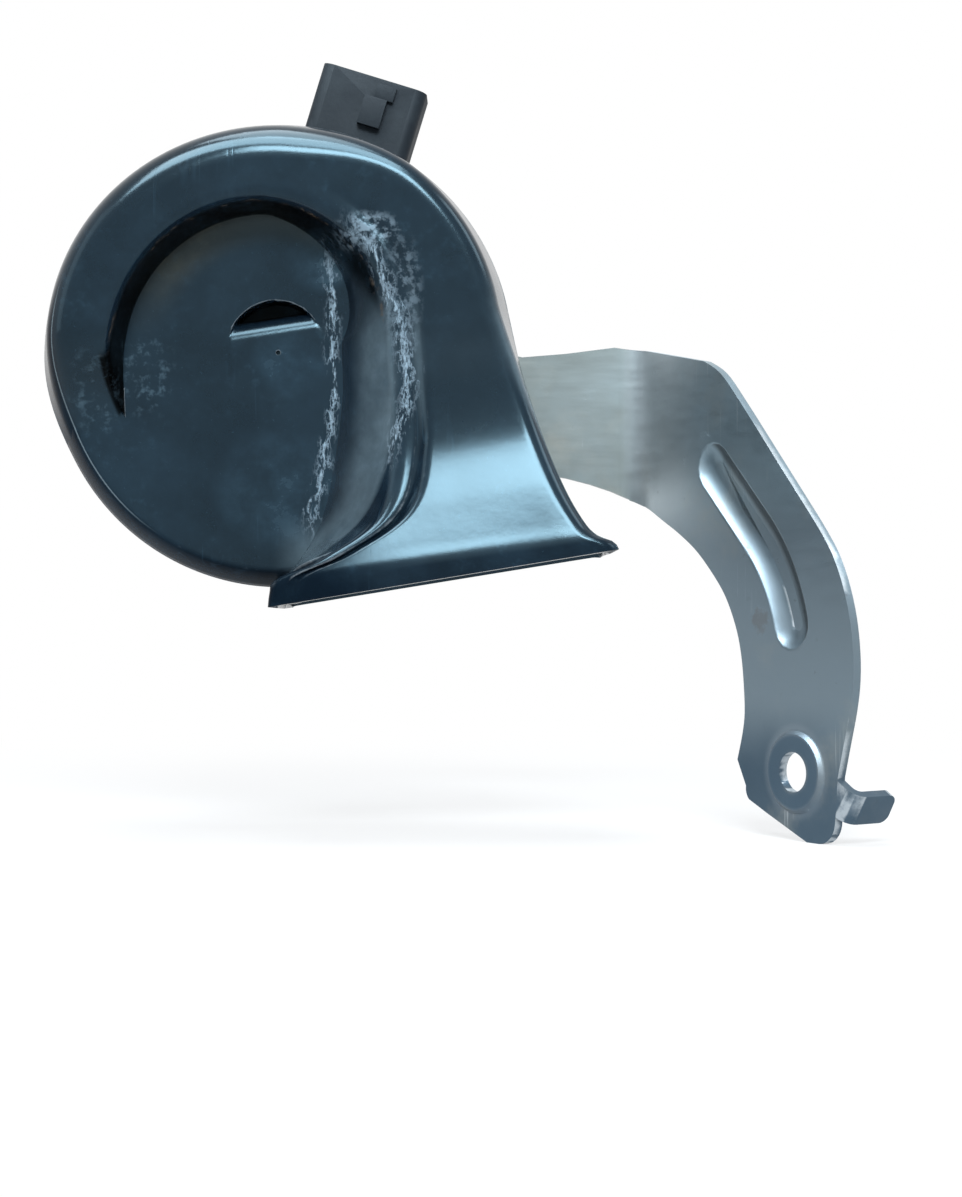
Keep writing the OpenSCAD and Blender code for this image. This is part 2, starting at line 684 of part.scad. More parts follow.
front_shell();
rear_shell();
steel_housing();
crimp_ring();
diaphragm();
diaphragm_gasket();
housing_gasket();
armature();
armature_washer();
contact_pusher();
pole_core();
mounting_stud();
coil_bobbin();
coil_winding();
coil_leads();
contact_base();
contact_spacers();
fixed_contact_arm();
fixed_contact_point();
moving_contact_spring();
moving_contact_point();
contact_rivet();
adjusting_screw();
resistor();
terminal_pin_left();
terminal_pin_right();
connector_housing();
connector_seal();
connector_rivets();
mounting_nut();
spring_washer();
bracket();
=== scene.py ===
import bpy
import bmesh
from math import sin, cos, pi, radians, hypot, exp, sqrt
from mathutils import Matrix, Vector


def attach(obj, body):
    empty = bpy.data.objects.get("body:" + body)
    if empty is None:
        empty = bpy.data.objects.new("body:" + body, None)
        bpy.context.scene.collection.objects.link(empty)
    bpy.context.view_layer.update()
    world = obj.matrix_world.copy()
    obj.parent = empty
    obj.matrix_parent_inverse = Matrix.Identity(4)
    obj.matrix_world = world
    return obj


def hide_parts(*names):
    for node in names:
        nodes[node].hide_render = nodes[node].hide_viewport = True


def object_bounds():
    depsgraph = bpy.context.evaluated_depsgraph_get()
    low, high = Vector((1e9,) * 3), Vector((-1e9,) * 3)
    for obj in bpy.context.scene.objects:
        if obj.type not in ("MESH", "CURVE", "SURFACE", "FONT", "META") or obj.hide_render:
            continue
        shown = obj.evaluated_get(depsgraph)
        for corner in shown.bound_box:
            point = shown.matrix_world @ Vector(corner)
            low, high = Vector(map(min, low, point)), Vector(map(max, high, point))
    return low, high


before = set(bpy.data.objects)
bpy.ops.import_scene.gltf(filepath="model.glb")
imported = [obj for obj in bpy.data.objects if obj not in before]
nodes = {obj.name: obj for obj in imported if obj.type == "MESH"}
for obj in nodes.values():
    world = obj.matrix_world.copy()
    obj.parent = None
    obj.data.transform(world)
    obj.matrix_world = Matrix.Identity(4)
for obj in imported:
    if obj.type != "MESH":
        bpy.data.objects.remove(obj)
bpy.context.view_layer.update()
print("frame loaded,", len(nodes), "nodes")

# The horn is drawn face up in mm, zero on its axis at the snail's flat front, then stood up
horn = {"axisX": 108.0765, "axisUp": 87.7, "front": 8.10172}


def place(x, y, z):
    return Vector(((x - horn["axisX"]) / 1000, (-z - horn["front"]) / 1000, (y + horn["axisUp"]) / 1000))


def standUp(bm):
    for vert in bm.verts:
        vert.co = place(*vert.co)


def smoothStep(a, b, x):
    t = min(1, max(0, (x - a) / (b - a)))
    return t * t * (3 - 2 * t)


def addNode(tree, kind, **settings):
    node = tree.nodes.new(kind)
    for name, value in settings.items():
        if name in node.inputs:
            node.inputs[name].default_value = value
        else:
            setattr(node, name, value)
    return node


def join(tree, source, target):
    if isinstance(source, (int, float, tuple)):
        target.default_value = source
    else:
        tree.links.new(source, target)


def calc(tree, operation, a, b=0.0, c=None):
    node = addNode(tree, "ShaderNodeMath", operation=operation)
    join(tree, a, node.inputs[0])
    join(tree, b, node.inputs[1])
    if c is not None:
        join(tree, c, node.inputs[2])
    return node.outputs[0]


def calcAll(tree, operation, values):
    result = values[0]
    for value in values[1:]:
        result = calc(tree, operation, result, value)
    return result


def times(tree, *values):
    return calcAll(tree, "MULTIPLY", values)


def most(tree, *values):
    return calcAll(tree, "MAXIMUM", values)


def plus(tree, *values):
    return calcAll(tree, "ADD", values)


def minus(tree, a, b):
    return calc(tree, "SUBTRACT", a, b)


def scaled(tree, value, factor, offset):
    return calc(tree, "MULTIPLY_ADD", value, factor, offset)


def ramp(tree, value, low, high, start=0.0, end=1.0):
    node = addNode(tree, "ShaderNodeMapRange", interpolation_type="SMOOTHSTEP")
    for source, label in ((value, "Value"), (low, "From Min"), (high, "From Max"), (start, "To Min"), (end, "To Max")):
        join(tree, source, node.inputs[label])
    return node.outputs["Result"]


def band(tree, value, rise, fall):
    return times(tree, ramp(tree, value, *rise), ramp(tree, value, *fall))


def stretch(tree, vector, scale, turn=(0.0, 0.0, 0.0)):
    node = addNode(tree, "ShaderNodeMapping")
    join(tree, vector, node.inputs["Vector"])
    join(tree, scale, node.inputs["Scale"])
    join(tree, turn, node.inputs["Rotation"])
    return node.outputs["Vector"]


def noise(tree, vector, scale, detail=4.0, roughness=0.55):
    node = addNode(tree, "ShaderNodeTexNoise", Detail=detail, Roughness=roughness)
    join(tree, vector, node.inputs["Vector"])
    join(tree, scale, node.inputs["Scale"])
    return node.outputs[0]


def blend(tree, mask, a, b):
    node = addNode(tree, "ShaderNodeMix", data_type="RGBA")
    join(tree, mask, node.inputs[0])
    join(tree, a, node.inputs[6])
    join(tree, b, node.inputs[7])
    return node.outputs[2]


def newGroup(name, inputs, outputs):
    tree = bpy.data.node_groups.new(name, "ShaderNodeTree")
    for label, kind, value in inputs:
        socket = tree.interface.new_socket(label, in_out="INPUT", socket_type="NodeSocket" + kind)
        if value is not None:
            socket.default_value = value
    for label, kind in outputs:
        tree.interface.new_socket(label, in_out="OUTPUT", socket_type="NodeSocket" + kind)
    return tree, addNode(tree, "NodeGroupInput").outputs, addNode(tree, "NodeGroupOutput").inputs


def makeBlotches():
    tree, given, result = newGroup("blotches", [("Vector", "Vector", None), ("Scale", "Float", 60.0),
        ("Low", "Float", 0.45), ("High", "Float", 0.65)], [("Mask", "Float")])
    cloud = noise(tree, given["Vector"], given["Scale"], 8.0, 0.62)
    join(tree, ramp(tree, cloud, given["Low"], given["High"]), result["Mask"])
    return tree


def makeScratches():
    tree, given, result = newGroup("scratches", [("Vector", "Vector", None), ("Scale", "Float", 120.0),
        ("Turn", "Vector", (0.0, 0.6, 0.0)), ("Thin", "Float", 0.012)], [("Mask", "Float")])
    along = stretch(tree, given["Vector"], (1.0, 1.0, 0.02), given["Turn"])
    line = noise(tree, along, given["Scale"], 2.0)
    away = calc(tree, "ABSOLUTE", minus(tree, line, 0.5))
    thin = ramp(tree, away, 0.0, given["Thin"], 1.0, 0.0)
    patch = ramp(tree, noise(tree, given["Vector"], 55.0, 3.0), 0.56, 0.7)
    join(tree, times(tree, thin, patch), result["Mask"])
    return tree


streak = {"sway": 7.0, "core": (0.1, 1.0, 1.0, 0.0), "haze": (0.3, 4.2, 0.6, 0.0), "crustGrain": (1.0, 1.0, 0.3),
    "veinGrain": (1.0, 1.0, 0.35), "veinWidth": 0.035, "ends": (-4.0, 6.0)}


def makeDriedStreak():
    # the middle of the streak, in mm: Start + Slope z + Curve z z
    tree, given, result = newGroup("driedStreak", [("Vector", "Vector", None), ("Start", "Float", 0.0),
        ("Slope", "Float", 0.0), ("Curve", "Float", 0.0), ("Width", "Float", 2.0), ("Low", "Float", 0.0),
        ("High", "Float", 100.0)], [("Mask", "Float")])
    parts = addNode(tree, "ShaderNodeSeparateXYZ")
    join(tree, given["Vector"], parts.inputs[0])
    across = times(tree, parts.outputs["X"], 1000.0)
    up = times(tree, parts.outputs["Z"], 1000.0)
    bend = scaled(tree, up, given["Curve"], given["Slope"])
    middle = scaled(tree, up, bend, given["Start"])
    sway = times(tree, minus(tree, noise(tree, given["Vector"], 110.0, 4.0, 0.6), 0.5), streak["sway"])
    away = calc(tree, "ABSOLUTE", plus(tree, minus(tree, across, middle), sway))
    near = calc(tree, "DIVIDE", away, given["Width"])
    core = ramp(tree, near, *streak["core"])
    haze = ramp(tree, near, *streak["haze"])
    crust = noise(tree, stretch(tree, given["Vector"], streak["crustGrain"]), 1500.0, 7.0, 0.72)
    crust = ramp(tree, crust, 0.43, 0.6)
    vein = noise(tree, stretch(tree, given["Vector"], streak["veinGrain"]), 260.0, 6.0, 0.7)
    vein = ramp(tree, calc(tree, "ABSOLUTE", minus(tree, vein, 0.5)), 0.0, streak["veinWidth"], 1.0, 0.0)
    ends = times(tree, ramp(tree, minus(tree, up, given["Low"]), *streak["ends"]),
        ramp(tree, minus(tree, given["High"], up), *streak["ends"]))
    join(tree, times(tree, most(tree, times(tree, core, crust), times(tree, haze, vein)), ends), result["Mask"])
    return tree


def makeGrain():
    tree, given, result = newGroup("fineGrain", [("Vector", "Vector", None), ("Scale", "Float", 900.0),
        ("Coarse", "Float", 90.0), ("Share", "Float", 0.5)], [("Height", "Float")])
    fine = noise(tree, given["Vector"], given["Scale"], 3.0)
    wide = noise(tree, given["Vector"], given["Coarse"], 2.0)
    node = addNode(tree, "ShaderNodeMix", data_type="FLOAT")
    join(tree, given["Share"], node.inputs[0])
    join(tree, fine, node.inputs[2])
    join(tree, wide, node.inputs[3])
    join(tree, node.outputs[0], result["Height"])
    return tree


def makeHornPlace():
    # distance from the horn's axis, place right of it and above it, and height over the snail's flat front, in mm
    tree, given, result = newGroup("hornPlace", [("Vector", "Vector", None)],
        [("Radius", "Float"), ("Right", "Float"), ("Up", "Float"), ("Face", "Float")])
    parts = addNode(tree, "ShaderNodeSeparateXYZ")
    join(tree, given["Vector"], parts.inputs[0])
    right = scaled(tree, parts.outputs["X"], 1000.0, horn["axisX"])
    up = scaled(tree, parts.outputs["Z"], 1000.0, -horn["axisUp"])
    face = scaled(tree, parts.outputs["Y"], -1000.0, -horn["front"])
    radius = calc(tree, "SQRT", plus(tree, times(tree, right, right), times(tree, up, up)))
    for value, label in ((radius, "Radius"), (right, "Right"), (up, "Up"), (face, "Face")):
        join(tree, value, result[label])
    return tree


groups = {"blotches": makeBlotches(), "scratches": makeScratches(), "driedStreak": makeDriedStreak(),
    "fineGrain": makeGrain(), "hornPlace": makeHornPlace()}


def useGroup(tree, name, vector, **values):
    node = addNode(tree, "ShaderNodeGroup", node_tree=groups[name])
    join(tree, vector, node.inputs["Vector"])
    for label, value in values.items():
        join(tree, value, node.inputs[label])
    return node.outputs[0] if len(node.outputs) == 1 else node.outputs


def newMaterial(name, **settings):
    material = bpy.data.materials.new(name)
    material.use_nodes = True
    tree = material.node_tree
    shader = tree.nodes["Principled BSDF"]
    for label, value in settings.items():
        shader.inputs[label.replace("_", " ")].default_value = value
    vector = addNode(tree, "ShaderNodeTexCoord").outputs["Object"]
    return material, tree, shader, vector


def addBump(tree, shader, height, strength, distance):
    node = addNode(tree, "ShaderNodeBump", Strength=strength, Distance=distance)
    join(tree, height, node.inputs["Height"])
    join(tree, node.outputs["Normal"], shader.inputs["Normal"])


def edgeMask(tree, vector, low=0.15, high=0.5):
    worn = addNode(tree, "ShaderNodeAttribute", attribute_name="edgeWear").outputs["Fac"]
    broken = times(tree, worn, noise(tree, vector, 420.0, 5.0, 0.7))
    return ramp(tree, broken, low, high)


# the near-black is painted shade, the pale rim line a painted highlight, and the pale slope tone painted light that the
# rubbed scuffs share
shellFinish = {
    "plastic": (0.0025, 0.006, 0.011, 1), "lighter": (0.0055, 0.0125, 0.021, 1), "dust": (0.028, 0.06, 0.09, 1),
    "slope": (0.1, 0.14, 0.165, 1), "scale": (0.36, 0.47, 0.56, 1), "mud": (0.032, 0.026, 0.013, 1),
    "paintedShade": (0.001, 0.001, 0.001, 1), "chip": (0.34, 0.38, 0.41, 1), "brownEdge": (0.1, 0.07, 0.045, 1),
    "rimHighlight": (0.16, 0.2, 0.22, 1), "tint": (0.53, 0.84, 1.0, 1), "gloss": 0.2, "dull": 0.6, "shine": 0.35,
}
# patches, in mm from the horn's axis: middle right and up, half width, half height, amount
shellPatches = {
    "floorDust": (0.5, -29.0, 15.0, 14.0, 0.85), "discDust": (2.5, -2.0, 9.0, 8.0, 0.9),
    "leftScuff": (-27.5, -4.5, 6.5, 10.0, 1.0), "leftRing": (-38.0, -9.0, 6.0, 9.0, 0.8),
    "topDust": (9.0, 19.0, 8.0, 7.0, 0.9), "mouthDust": (35.0, -26.0, 22.0, 7.0, 0.25),
    "crestPool": (19.5, 23.5, 7.5, 4.5, 1.0), "ridgePool": (26.5, 11.0, 4.5, 13.0, 0.55),
}
# where each mark fades in and where it fades out, in mm
shellBands = {
    "mudRadius": ((22.0, 28.5), (36.0, 32.0)), "wallRadius": ((20.0, 24.0), (36.4, 35.6)),
    "wallHeight": ((-1.8, -3.6), (-12.95, -12.5)), "edgeHeight": ((-1.4, -2.2), (-4.2, -3.0)),
}
driedLines = {
    "floor": {"Start": -124.6, "Slope": 0.644, "Curve": -0.00364, "Width": 0.6, "Low": 50.0, "High": 109.0},
    "crest": {"Start": -156.7, "Slope": 1.857, "Curve": -0.01135, "Width": 0.7, "Low": 64.0, "High": 113.0},
}


def makeShellPlastic(face):
    name = "shellPlasticFront" if face else "shellPlasticRear"
    material, tree, shader, vector = newMaterial(name, Specular_Tint=shellFinish["tint"])
    colour = blend(tree, useGroup(tree, "blotches", vector, Scale=38.0, Low=0.4, High=0.7),
        shellFinish["plastic"], shellFinish["lighter"])
    fine = useGroup(tree, "blotches", vector, Scale=420.0, Low=0.5, High=0.72)
    scuffs = useGroup(tree, "scratches", vector, Scale=150.0, Turn=(0.0, 0.5, 0.0), Thin=0.02)
    hairs = useGroup(tree, "scratches", vector, Scale=60.0, Turn=(0.0, -0.9, 0.3), Thin=0.006)
    grime = useGroup(tree, "blotches", vector, Scale=70.0, Low=0.42, High=0.66)
    speck = useGroup(tree, "blotches", vector, Scale=1500.0, Low=0.66, High=0.72)
    dusty = times(tree, grime, scaled(tree, fine, 0.35, 0.12))
    if face:
        spot = useGroup(tree, "hornPlace", vector)
        haze = useGroup(tree, "blotches", vector, Scale=150.0, Low=0.3, High=0.8)
        fx, fy = spot["Right"], spot["Up"]

        def patch(label):
            x, y, wide, tall, amount = shellPatches[label]
            dx = calc(tree, "DIVIDE", minus(tree, fx, x), wide)
            dy = calc(tree, "DIVIDE", minus(tree, fy, y), tall)
            away = plus(tree, times(tree, dx, dx), times(tree, dy, dy))
            return times(tree, ramp(tree, away, 0.1, 1.2, 1.0, 0.0), amount)

        # dust on the floor and the sunk disc, above them and over the mouth, and scuffs on the left
        deep = ramp(tree, spot["Face"], -10.5, -12.5)
        floorDust, discDust = (times(tree, patch(label), deep) for label in ("floorDust", "discDust"))
        cover = most(tree, floorDust, discDust, patch("topDust"), patch("mouthDust"))
        dusty = most(tree, dusty, times(tree, cover, scaled(tree, haze, 0.75, 0.15)))
        strokes = useGroup(tree, "scratches", vector, Scale=420.0, Turn=(0.0, -0.5, 0.0), Thin=0.16)
        strokes = most(tree, strokes, times(tree, fine, 0.7))
        rubbed = times(tree, most(tree, patch("leftScuff"), patch("leftRing")), strokes)
        scuffs = most(tree, times(tree, scuffs, 0.5), times(tree, rubbed, 1.3))
        # painted light: the slope on the right of the recess is painted paler, where the light falls on it; the rubbed
        # scuffs take the same tone
        height = plus(tree, spot["Face"], ramp(tree, fy, -30.0, -42.0, 0.0, 6.5))
        slope = times(tree, ramp(tree, height, -12.0, -4.5), ramp(tree, spot["Face"], 0.2, -1.6))
        slope = times(tree, slope, times(tree, ramp(tree, fx, -2.0, 8.0), ramp(tree, fy, 20.0, -4.0)))
        slope = times(tree, slope, scaled(tree, haze, 0.4, 0.45))
        colour = blend(tree, slope, colour, shellFinish["slope"])
        # brown dirt lies in the top corner of the recess
        ringMud = band(tree, spot["Radius"], *shellBands["mudRadius"])
        mudHigh = times(tree, ramp(tree, fy, 2.0, 24.0), ramp(tree, spot["Face"], -7.0, -11.5))
        mud = times(tree, ringMud, mudHigh, scaled(tree, grime, 0.5, 0.5))
        colour = blend(tree, times(tree, mud, 0.9), colour, shellFinish["mud"])
        # the wall behind it is painted nearly black as painted shade, like the wall where the duct starts and the deep
        # pocket above the sunk disc, with a thin brown line on its upper edge
        wallRing = band(tree, spot["Radius"], *shellBands["wallRadius"])
        wallHigh = band(tree, spot["Face"], *shellBands["wallHeight"])
        paintedShade = times(tree, wallHigh, ramp(tree, scaled(tree, fx, -0.3, fy), -3.0, 7.0), wallRing)
        startWall = times(tree, ramp(tree, fx, -22.0, -27.0), ramp(tree, fy, -19.0, -12.0))
        paintedShade = most(tree, paintedShade, times(tree, wallRing, wallHigh, startWall))
        pocket = times(tree, ramp(tree, spot["Radius"], 11.2, 10.6), ramp(tree, spot["Face"], -14.2, -15.2))
        paintedShade = most(tree, paintedShade, pocket)
        colour = blend(tree, paintedShade, colour, shellFinish["paintedShade"])
        edgeLine = band(tree, spot["Face"], *shellBands["edgeHeight"])
        edgeLine = times(tree, edgeLine, wallRing, times(tree, fine, ramp(tree, fy, -4.0, 6.0)))
        colour = blend(tree, times(tree, edgeLine, 0.8), colour, shellFinish["brownEdge"])
        # painted highlight: a thin pale line where the rounded rim begins, low on the left, where that crease catches
        # the light
        rimRadius = scaled(tree, noise(tree, vector, 25.0, 2.0), 0.8, 45.2)
        rimAway = calc(tree, "ABSOLUTE", minus(tree, spot["Radius"], rimRadius))
        rimLow = ramp(tree, scaled(tree, fy, -0.25, fx), -14.0, -30.0)
        rimGlint = times(tree, ramp(tree, rimAway, 0.06, 0.2, 1.0, 0.0), rimLow)
        rimGlint = times(tree, rimGlint, times(tree, ramp(tree, fy, 16.0, 4.0), ramp(tree, spot["Face"], -14.2, -13.6)))
        colour = blend(tree, times(tree, rimGlint, 0.6), colour, shellFinish["rimHighlight"])
    colour = blend(tree, times(tree, dusty, 0.55), colour, shellFinish["dust"])
    marks = most(tree, times(tree, scuffs, 0.45), times(tree, hairs, 0.15), times(tree, speck, 0.4))
    colour = blend(tree, marks, colour, shellFinish["dust"])
    crust = 0.0
    join(tree, shellFinish["shine"], shader.inputs["Specular IOR Level"])
    if face:
        colour = blend(tree, times(tree, rubbed, 0.4), colour, shellFinish["slope"])
        # shine taken off as painted shade: the black wall, the band under the mouth's crease and the rim low on the
        # left
        underMouth = ramp(tree, scaled(tree, fx, -0.141, fy), -48.5, -49.5)
        lowLeft = ramp(tree, scaled(tree, fx, 0.9, fy), -14.0, -38.0)
        lowRim = times(tree, ramp(tree, spot["Radius"], 44.6, 46.2), lowLeft)
        matt = most(tree, paintedShade, times(tree, underMouth, 0.6), lowRim)
        shine = scaled(tree, matt, -0.9 * shellFinish["shine"], shellFinish["shine"])
        join(tree, shine, shader.inputs["Specular IOR Level"])
        # dried streaks on the floor and along the crest, and two pools of the same beside the crest
        floorLine, crestLine = (useGroup(tree, "driedStreak", vector, **values) for values in driedLines.values())
        front = ramp(tree, spot["Face"], -19.0, -17.0)
        crust = times(tree, most(tree, floorLine, crestLine), front)
        broken = useGroup(tree, "blotches", vector, Scale=520.0, Low=0.46, High=0.62)
        pool = times(tree, most(tree, patch("crestPool"), patch("ridgePool")), broken)
        crust = most(tree, crust, times(tree, pool, 0.5))
        colour = blend(tree, times(tree, crust, 0.62), colour, shellFinish["scale"])
    worn = edgeMask(tree, vector, 0.22, 0.5)
    if face:
        # no worn edges show through the painted shade
        worn = times(tree, worn, minus(tree, 1.0, paintedShade))
    colour = blend(tree, times(tree, worn, 0.28), colour, shellFinish["chip"])
    join(tree, colour, shader.inputs["Base Color"])
    cloudy = noise(tree, vector, 30.0, 5.0)
    rough = scaled(tree, cloudy, 0.16, shellFinish["gloss"] - 0.1)
    rough = most(tree, rough, times(tree, most(tree, dusty, worn), shellFinish["dull"]))
    rough = most(tree, rough, times(tree, crust, 0.8))
    join(tree, rough, shader.inputs["Roughness"])
    height = scaled(tree, useGroup(tree, "fineGrain", vector, Scale=700.0, Coarse=75.0, Share=0.6), 0.5, crust)
    addBump(tree, shader, minus(tree, height, times(tree, scuffs, 0.3)), 0.2, 0.0003)
    return material


def makePlainPlastic(name, base, dust, gloss, grain=900.0):
    material, tree, shader, vector = newMaterial(name, Specular_IOR_Level=0.22, Specular_Tint=(0.8, 0.92, 1.0, 1))
    colour = blend(tree, useGroup(tree, "blotches", vector, Scale=90.0, Low=0.42, High=0.7), base, dust)
    lines = useGroup(tree, "scratches", vector, Scale=160.0, Turn=(0.3, 0.9, 0.0), Thin=0.014)
    worn = edgeMask(tree, vector)
    pale = tuple(min(1.0, 4 * part + 0.08) for part in base[:3]) + (1,)
    colour = blend(tree, times(tree, most(tree, lines, worn), 0.35), colour, pale)
    join(tree, colour, shader.inputs["Base Color"])
    join(tree, scaled(tree, noise(tree, vector, 80.0, 5.0), 0.25, gloss - 0.12), shader.inputs["Roughness"])
    addBump(tree, shader, useGroup(tree, "fineGrain", vector, Scale=grain, Coarse=160.0, Share=0.35), 0.4, 0.00015)
    return material


def makeMetal(name, base, dark, gloss, rust, cloud, brushed=(1.0, 1.0, 1.0)):
    material, tree, shader, vector = newMaterial(name, Specular_IOR_Level=0.5)
    soft = useGroup(tree, "blotches", vector, Scale=cloud, Low=0.36, High=0.66)
    spots = useGroup(tree, "blotches", vector, Scale=cloud * 6, Low=0.6, High=0.74)
    colour = blend(tree, soft, base, dark)
    darker = tuple(0.45 * part for part in dark[:3]) + (1,)
    brighter = tuple(min(1.0, 1.3 * part) for part in base[:3]) + (1,)
    colour = blend(tree, times(tree, spots, 0.3), colour, darker)
    colour = blend(tree, times(tree, edgeMask(tree, vector, 0.12, 0.45), 0.5), colour, brighter)
    brown = useGroup(tree, "blotches", vector, Scale=150.0, Low=0.66, High=0.78)
    brown = times(tree, brown, rust)
    colour = blend(tree, brown, colour, (0.14, 0.065, 0.025, 1))
    join(tree, colour, shader.inputs["Base Color"])
    join(tree, minus(tree, 0.95, times(tree, brown, 0.9)), shader.inputs["Metallic"])
    lines = noise(tree, stretch(tree, vector, brushed), 700.0, 4.0, 0.6)
    rough = plus(tree, scaled(tree, soft, 0.1, gloss), times(tree, brown, 0.4))
    rough = plus(tree, rough, times(tree, minus(tree, lines, 0.5), 0.15))
    join(tree, rough, shader.inputs["Roughness"])
    addBump(tree, shader, plus(tree, lines, times(tree, spots, -0.8)), 0.18, 0.0001)
    return material


# the bend and upper tones are painted light, the lower and foot tones painted shade, the near-black of the bead's flank
# painted shade, and the ring's pale rim a painted highlight
bracketFinish = {
    "zinc": (0.175, 0.21, 0.212, 1), "bend": (0.5, 0.57, 0.6, 1), "upper": (0.22, 0.3, 0.35, 1),
    "lower": (0.16, 0.21, 0.245, 1), "foot": (0.05, 0.085, 0.12, 1), "shade": (0.14, 0.19, 0.23, 1),
    "tan": (0.3, 0.305, 0.27, 1), "dirt": (0.05, 0.05, 0.05, 1), "pressed": (0.06, 0.1, 0.14, 1),
    "nick": (0.62, 0.67, 0.7, 1), "wornEdge": (0.62, 0.68, 0.72, 1), "paintedShade": (0.035, 0.045, 0.05, 1),
    "ringRimHighlight": (0.45, 0.5, 0.54, 1), "gloss": 0.3,
}
# places on the bracket in metres from the middle of the bolt hole, where the painted light and shade on the zinc fade
# in, and which way the bead's flank with painted shade faces
bracketPlaces = {
    "arm": (-0.034, -0.0285), "upper": (-0.027, -0.013), "lower": (0.064, 0.044), "foot": (0.016, -0.002),
    "flankFacing": (-0.474, 0.73, -0.49), "flankTurned": ((0.14, 0.42), (0.85, 0.7)),
    "flankRight": (-0.026, -0.02), "flankUp": (0.016, 0.024),
    "ringIn": (0.0042, 0.0052), "ringOut": (0.0072, 0.0084), "rimOut": (0.0088, 0.0108),
    "stain": (-0.0062, 0.0095, 0.0315), "stainSize": (0.001, 0.0055),
}


def makeZincSheet():
    material, tree, shader, vector = newMaterial("zincSheet", Specular_IOR_Level=0.5)
    parts = addNode(tree, "ShaderNodeSeparateXYZ")
    join(tree, vector, parts.inputs[0])
    waver = scaled(tree, noise(tree, vector, 30.0, 3.0), 0.012, -0.006)
    across, up = (plus(tree, parts.outputs[axis], waver) for axis in ("X", "Z"))
    # painted light and shade: the zinc is painted lighter past the bend and further along the arm, and darker lower
    # down on the arm and at the foot
    arm = ramp(tree, parts.outputs["X"], *bracketPlaces["arm"])
    colour = blend(tree, arm, bracketFinish["zinc"], bracketFinish["bend"])
    colour = blend(tree, ramp(tree, across, *bracketPlaces["upper"]), colour, bracketFinish["upper"])
    for label in ("lower", "foot"):
        colour = blend(tree, times(tree, arm, ramp(tree, up, *bracketPlaces[label])), colour, bracketFinish[label])
    haze = useGroup(tree, "blotches", vector, Scale=26.0, Low=0.34, High=0.72)
    colour = blend(tree, times(tree, haze, 0.3), colour, bracketFinish["shade"])
    warm = useGroup(tree, "blotches", vector, Scale=40.0, Low=0.5, High=0.74)
    colour = blend(tree, times(tree, warm, 0.4), colour, bracketFinish["tan"])
    spots = useGroup(tree, "blotches", vector, Scale=260.0, Low=0.64, High=0.78)
    colour = blend(tree, times(tree, spots, 0.4), colour, bracketFinish["dirt"])
    nicks = useGroup(tree, "scratches", vector, Scale=190.0, Turn=(0.0, -0.7, 0.2), Thin=0.01)
    colour = blend(tree, times(tree, nicks, 0.35), colour, bracketFinish["nick"])
    worn = edgeMask(tree, vector, 0.1, 0.4)
    colour = blend(tree, times(tree, worn, 0.55), colour, bracketFinish["wornEdge"])
    # painted shade lies on the upper flank of the bead, the side turned away from the light
    facing = addNode(tree, "ShaderNodeVectorMath", operation="DOT_PRODUCT")
    join(tree, addNode(tree, "ShaderNodeNewGeometry").outputs["Normal"], facing.inputs[0])
    join(tree, bracketPlaces["flankFacing"], facing.inputs[1])
    flank = band(tree, facing.outputs["Value"], *bracketPlaces["flankTurned"])
    flankRight = ramp(tree, parts.outputs["X"], *bracketPlaces["flankRight"])
    flankUp = ramp(tree, parts.outputs["Z"], *bracketPlaces["flankUp"])
    flank = times(tree, flank, times(tree, flankRight, flankUp))
    colour = blend(tree, times(tree, flank, 0.8), colour, bracketFinish["paintedShade"])
    # dark ring pressed round the bolt hole, which is at zero, and a stain on the flat beside the bead
    toHole = addNode(tree, "ShaderNodeVectorMath", operation="LENGTH")
    join(tree, vector, toHole.inputs[0])
    ringIn, ringOut = (ramp(tree, toHole.outputs["Value"], *bracketPlaces[label]) for label in ("ringIn", "ringOut"))
    pressed = times(tree, minus(tree, ringIn, ringOut), scaled(tree, haze, 0.2, 0.75))
    colour = blend(tree, pressed, colour, bracketFinish["pressed"])
    # a painted highlight: a pale rim round the pressed ring
    rim = minus(tree, ringOut, ramp(tree, toHole.outputs["Value"], *bracketPlaces["rimOut"]))
    colour = blend(tree, times(tree, rim, 0.12), colour, bracketFinish["ringRimHighlight"])
    away = addNode(tree, "ShaderNodeVectorMath", operation="DISTANCE")
    join(tree, vector, away.inputs[0])
    join(tree, bracketPlaces["stain"], away.inputs[1])
    mark = ramp(tree, away.outputs["Value"], *bracketPlaces["stainSize"], 1.0, 0.0)
    mark = times(tree, mark, noise(tree, vector, 600.0, 5.0, 0.7))
    mark = ramp(tree, mark, 0.2, 0.5)
    colour = blend(tree, times(tree, mark, 0.7), colour, bracketFinish["dirt"])
    join(tree, colour, shader.inputs["Base Color"])
    join(tree, minus(tree, 0.92, times(tree, mark, 0.8)), shader.inputs["Metallic"])
    rolled = noise(tree, stretch(tree, vector, (0.25, 0.25, 1.6)), 420.0, 5.0, 0.6)
    rough = scaled(tree, haze, 0.1, scaled(tree, arm, 0.08, bracketFinish["gloss"]))
    rough = plus(tree, rough, times(tree, most(tree, spots, mark), 0.25))
    rough = plus(tree, rough, times(tree, minus(tree, rolled, 0.5), 0.12))
    join(tree, rough, shader.inputs["Roughness"])
    uneven = plus(tree, times(tree, rolled, 0.5), times(tree, noise(tree, vector, 60.0, 3.0), 1.5))
    addBump(tree, shader, minus(tree, uneven, plus(tree, spots, nicks)), 0.1, 0.0002)
    return material


paintFinish = {"black": (0.012, 0.012, 0.013, 1), "faded": (0.05, 0.05, 0.052, 1), "rustDark": (0.07, 0.03, 0.014, 1),
    "rust": (0.22, 0.1, 0.04, 1), "dust": (0.3, 0.29, 0.27, 1)}


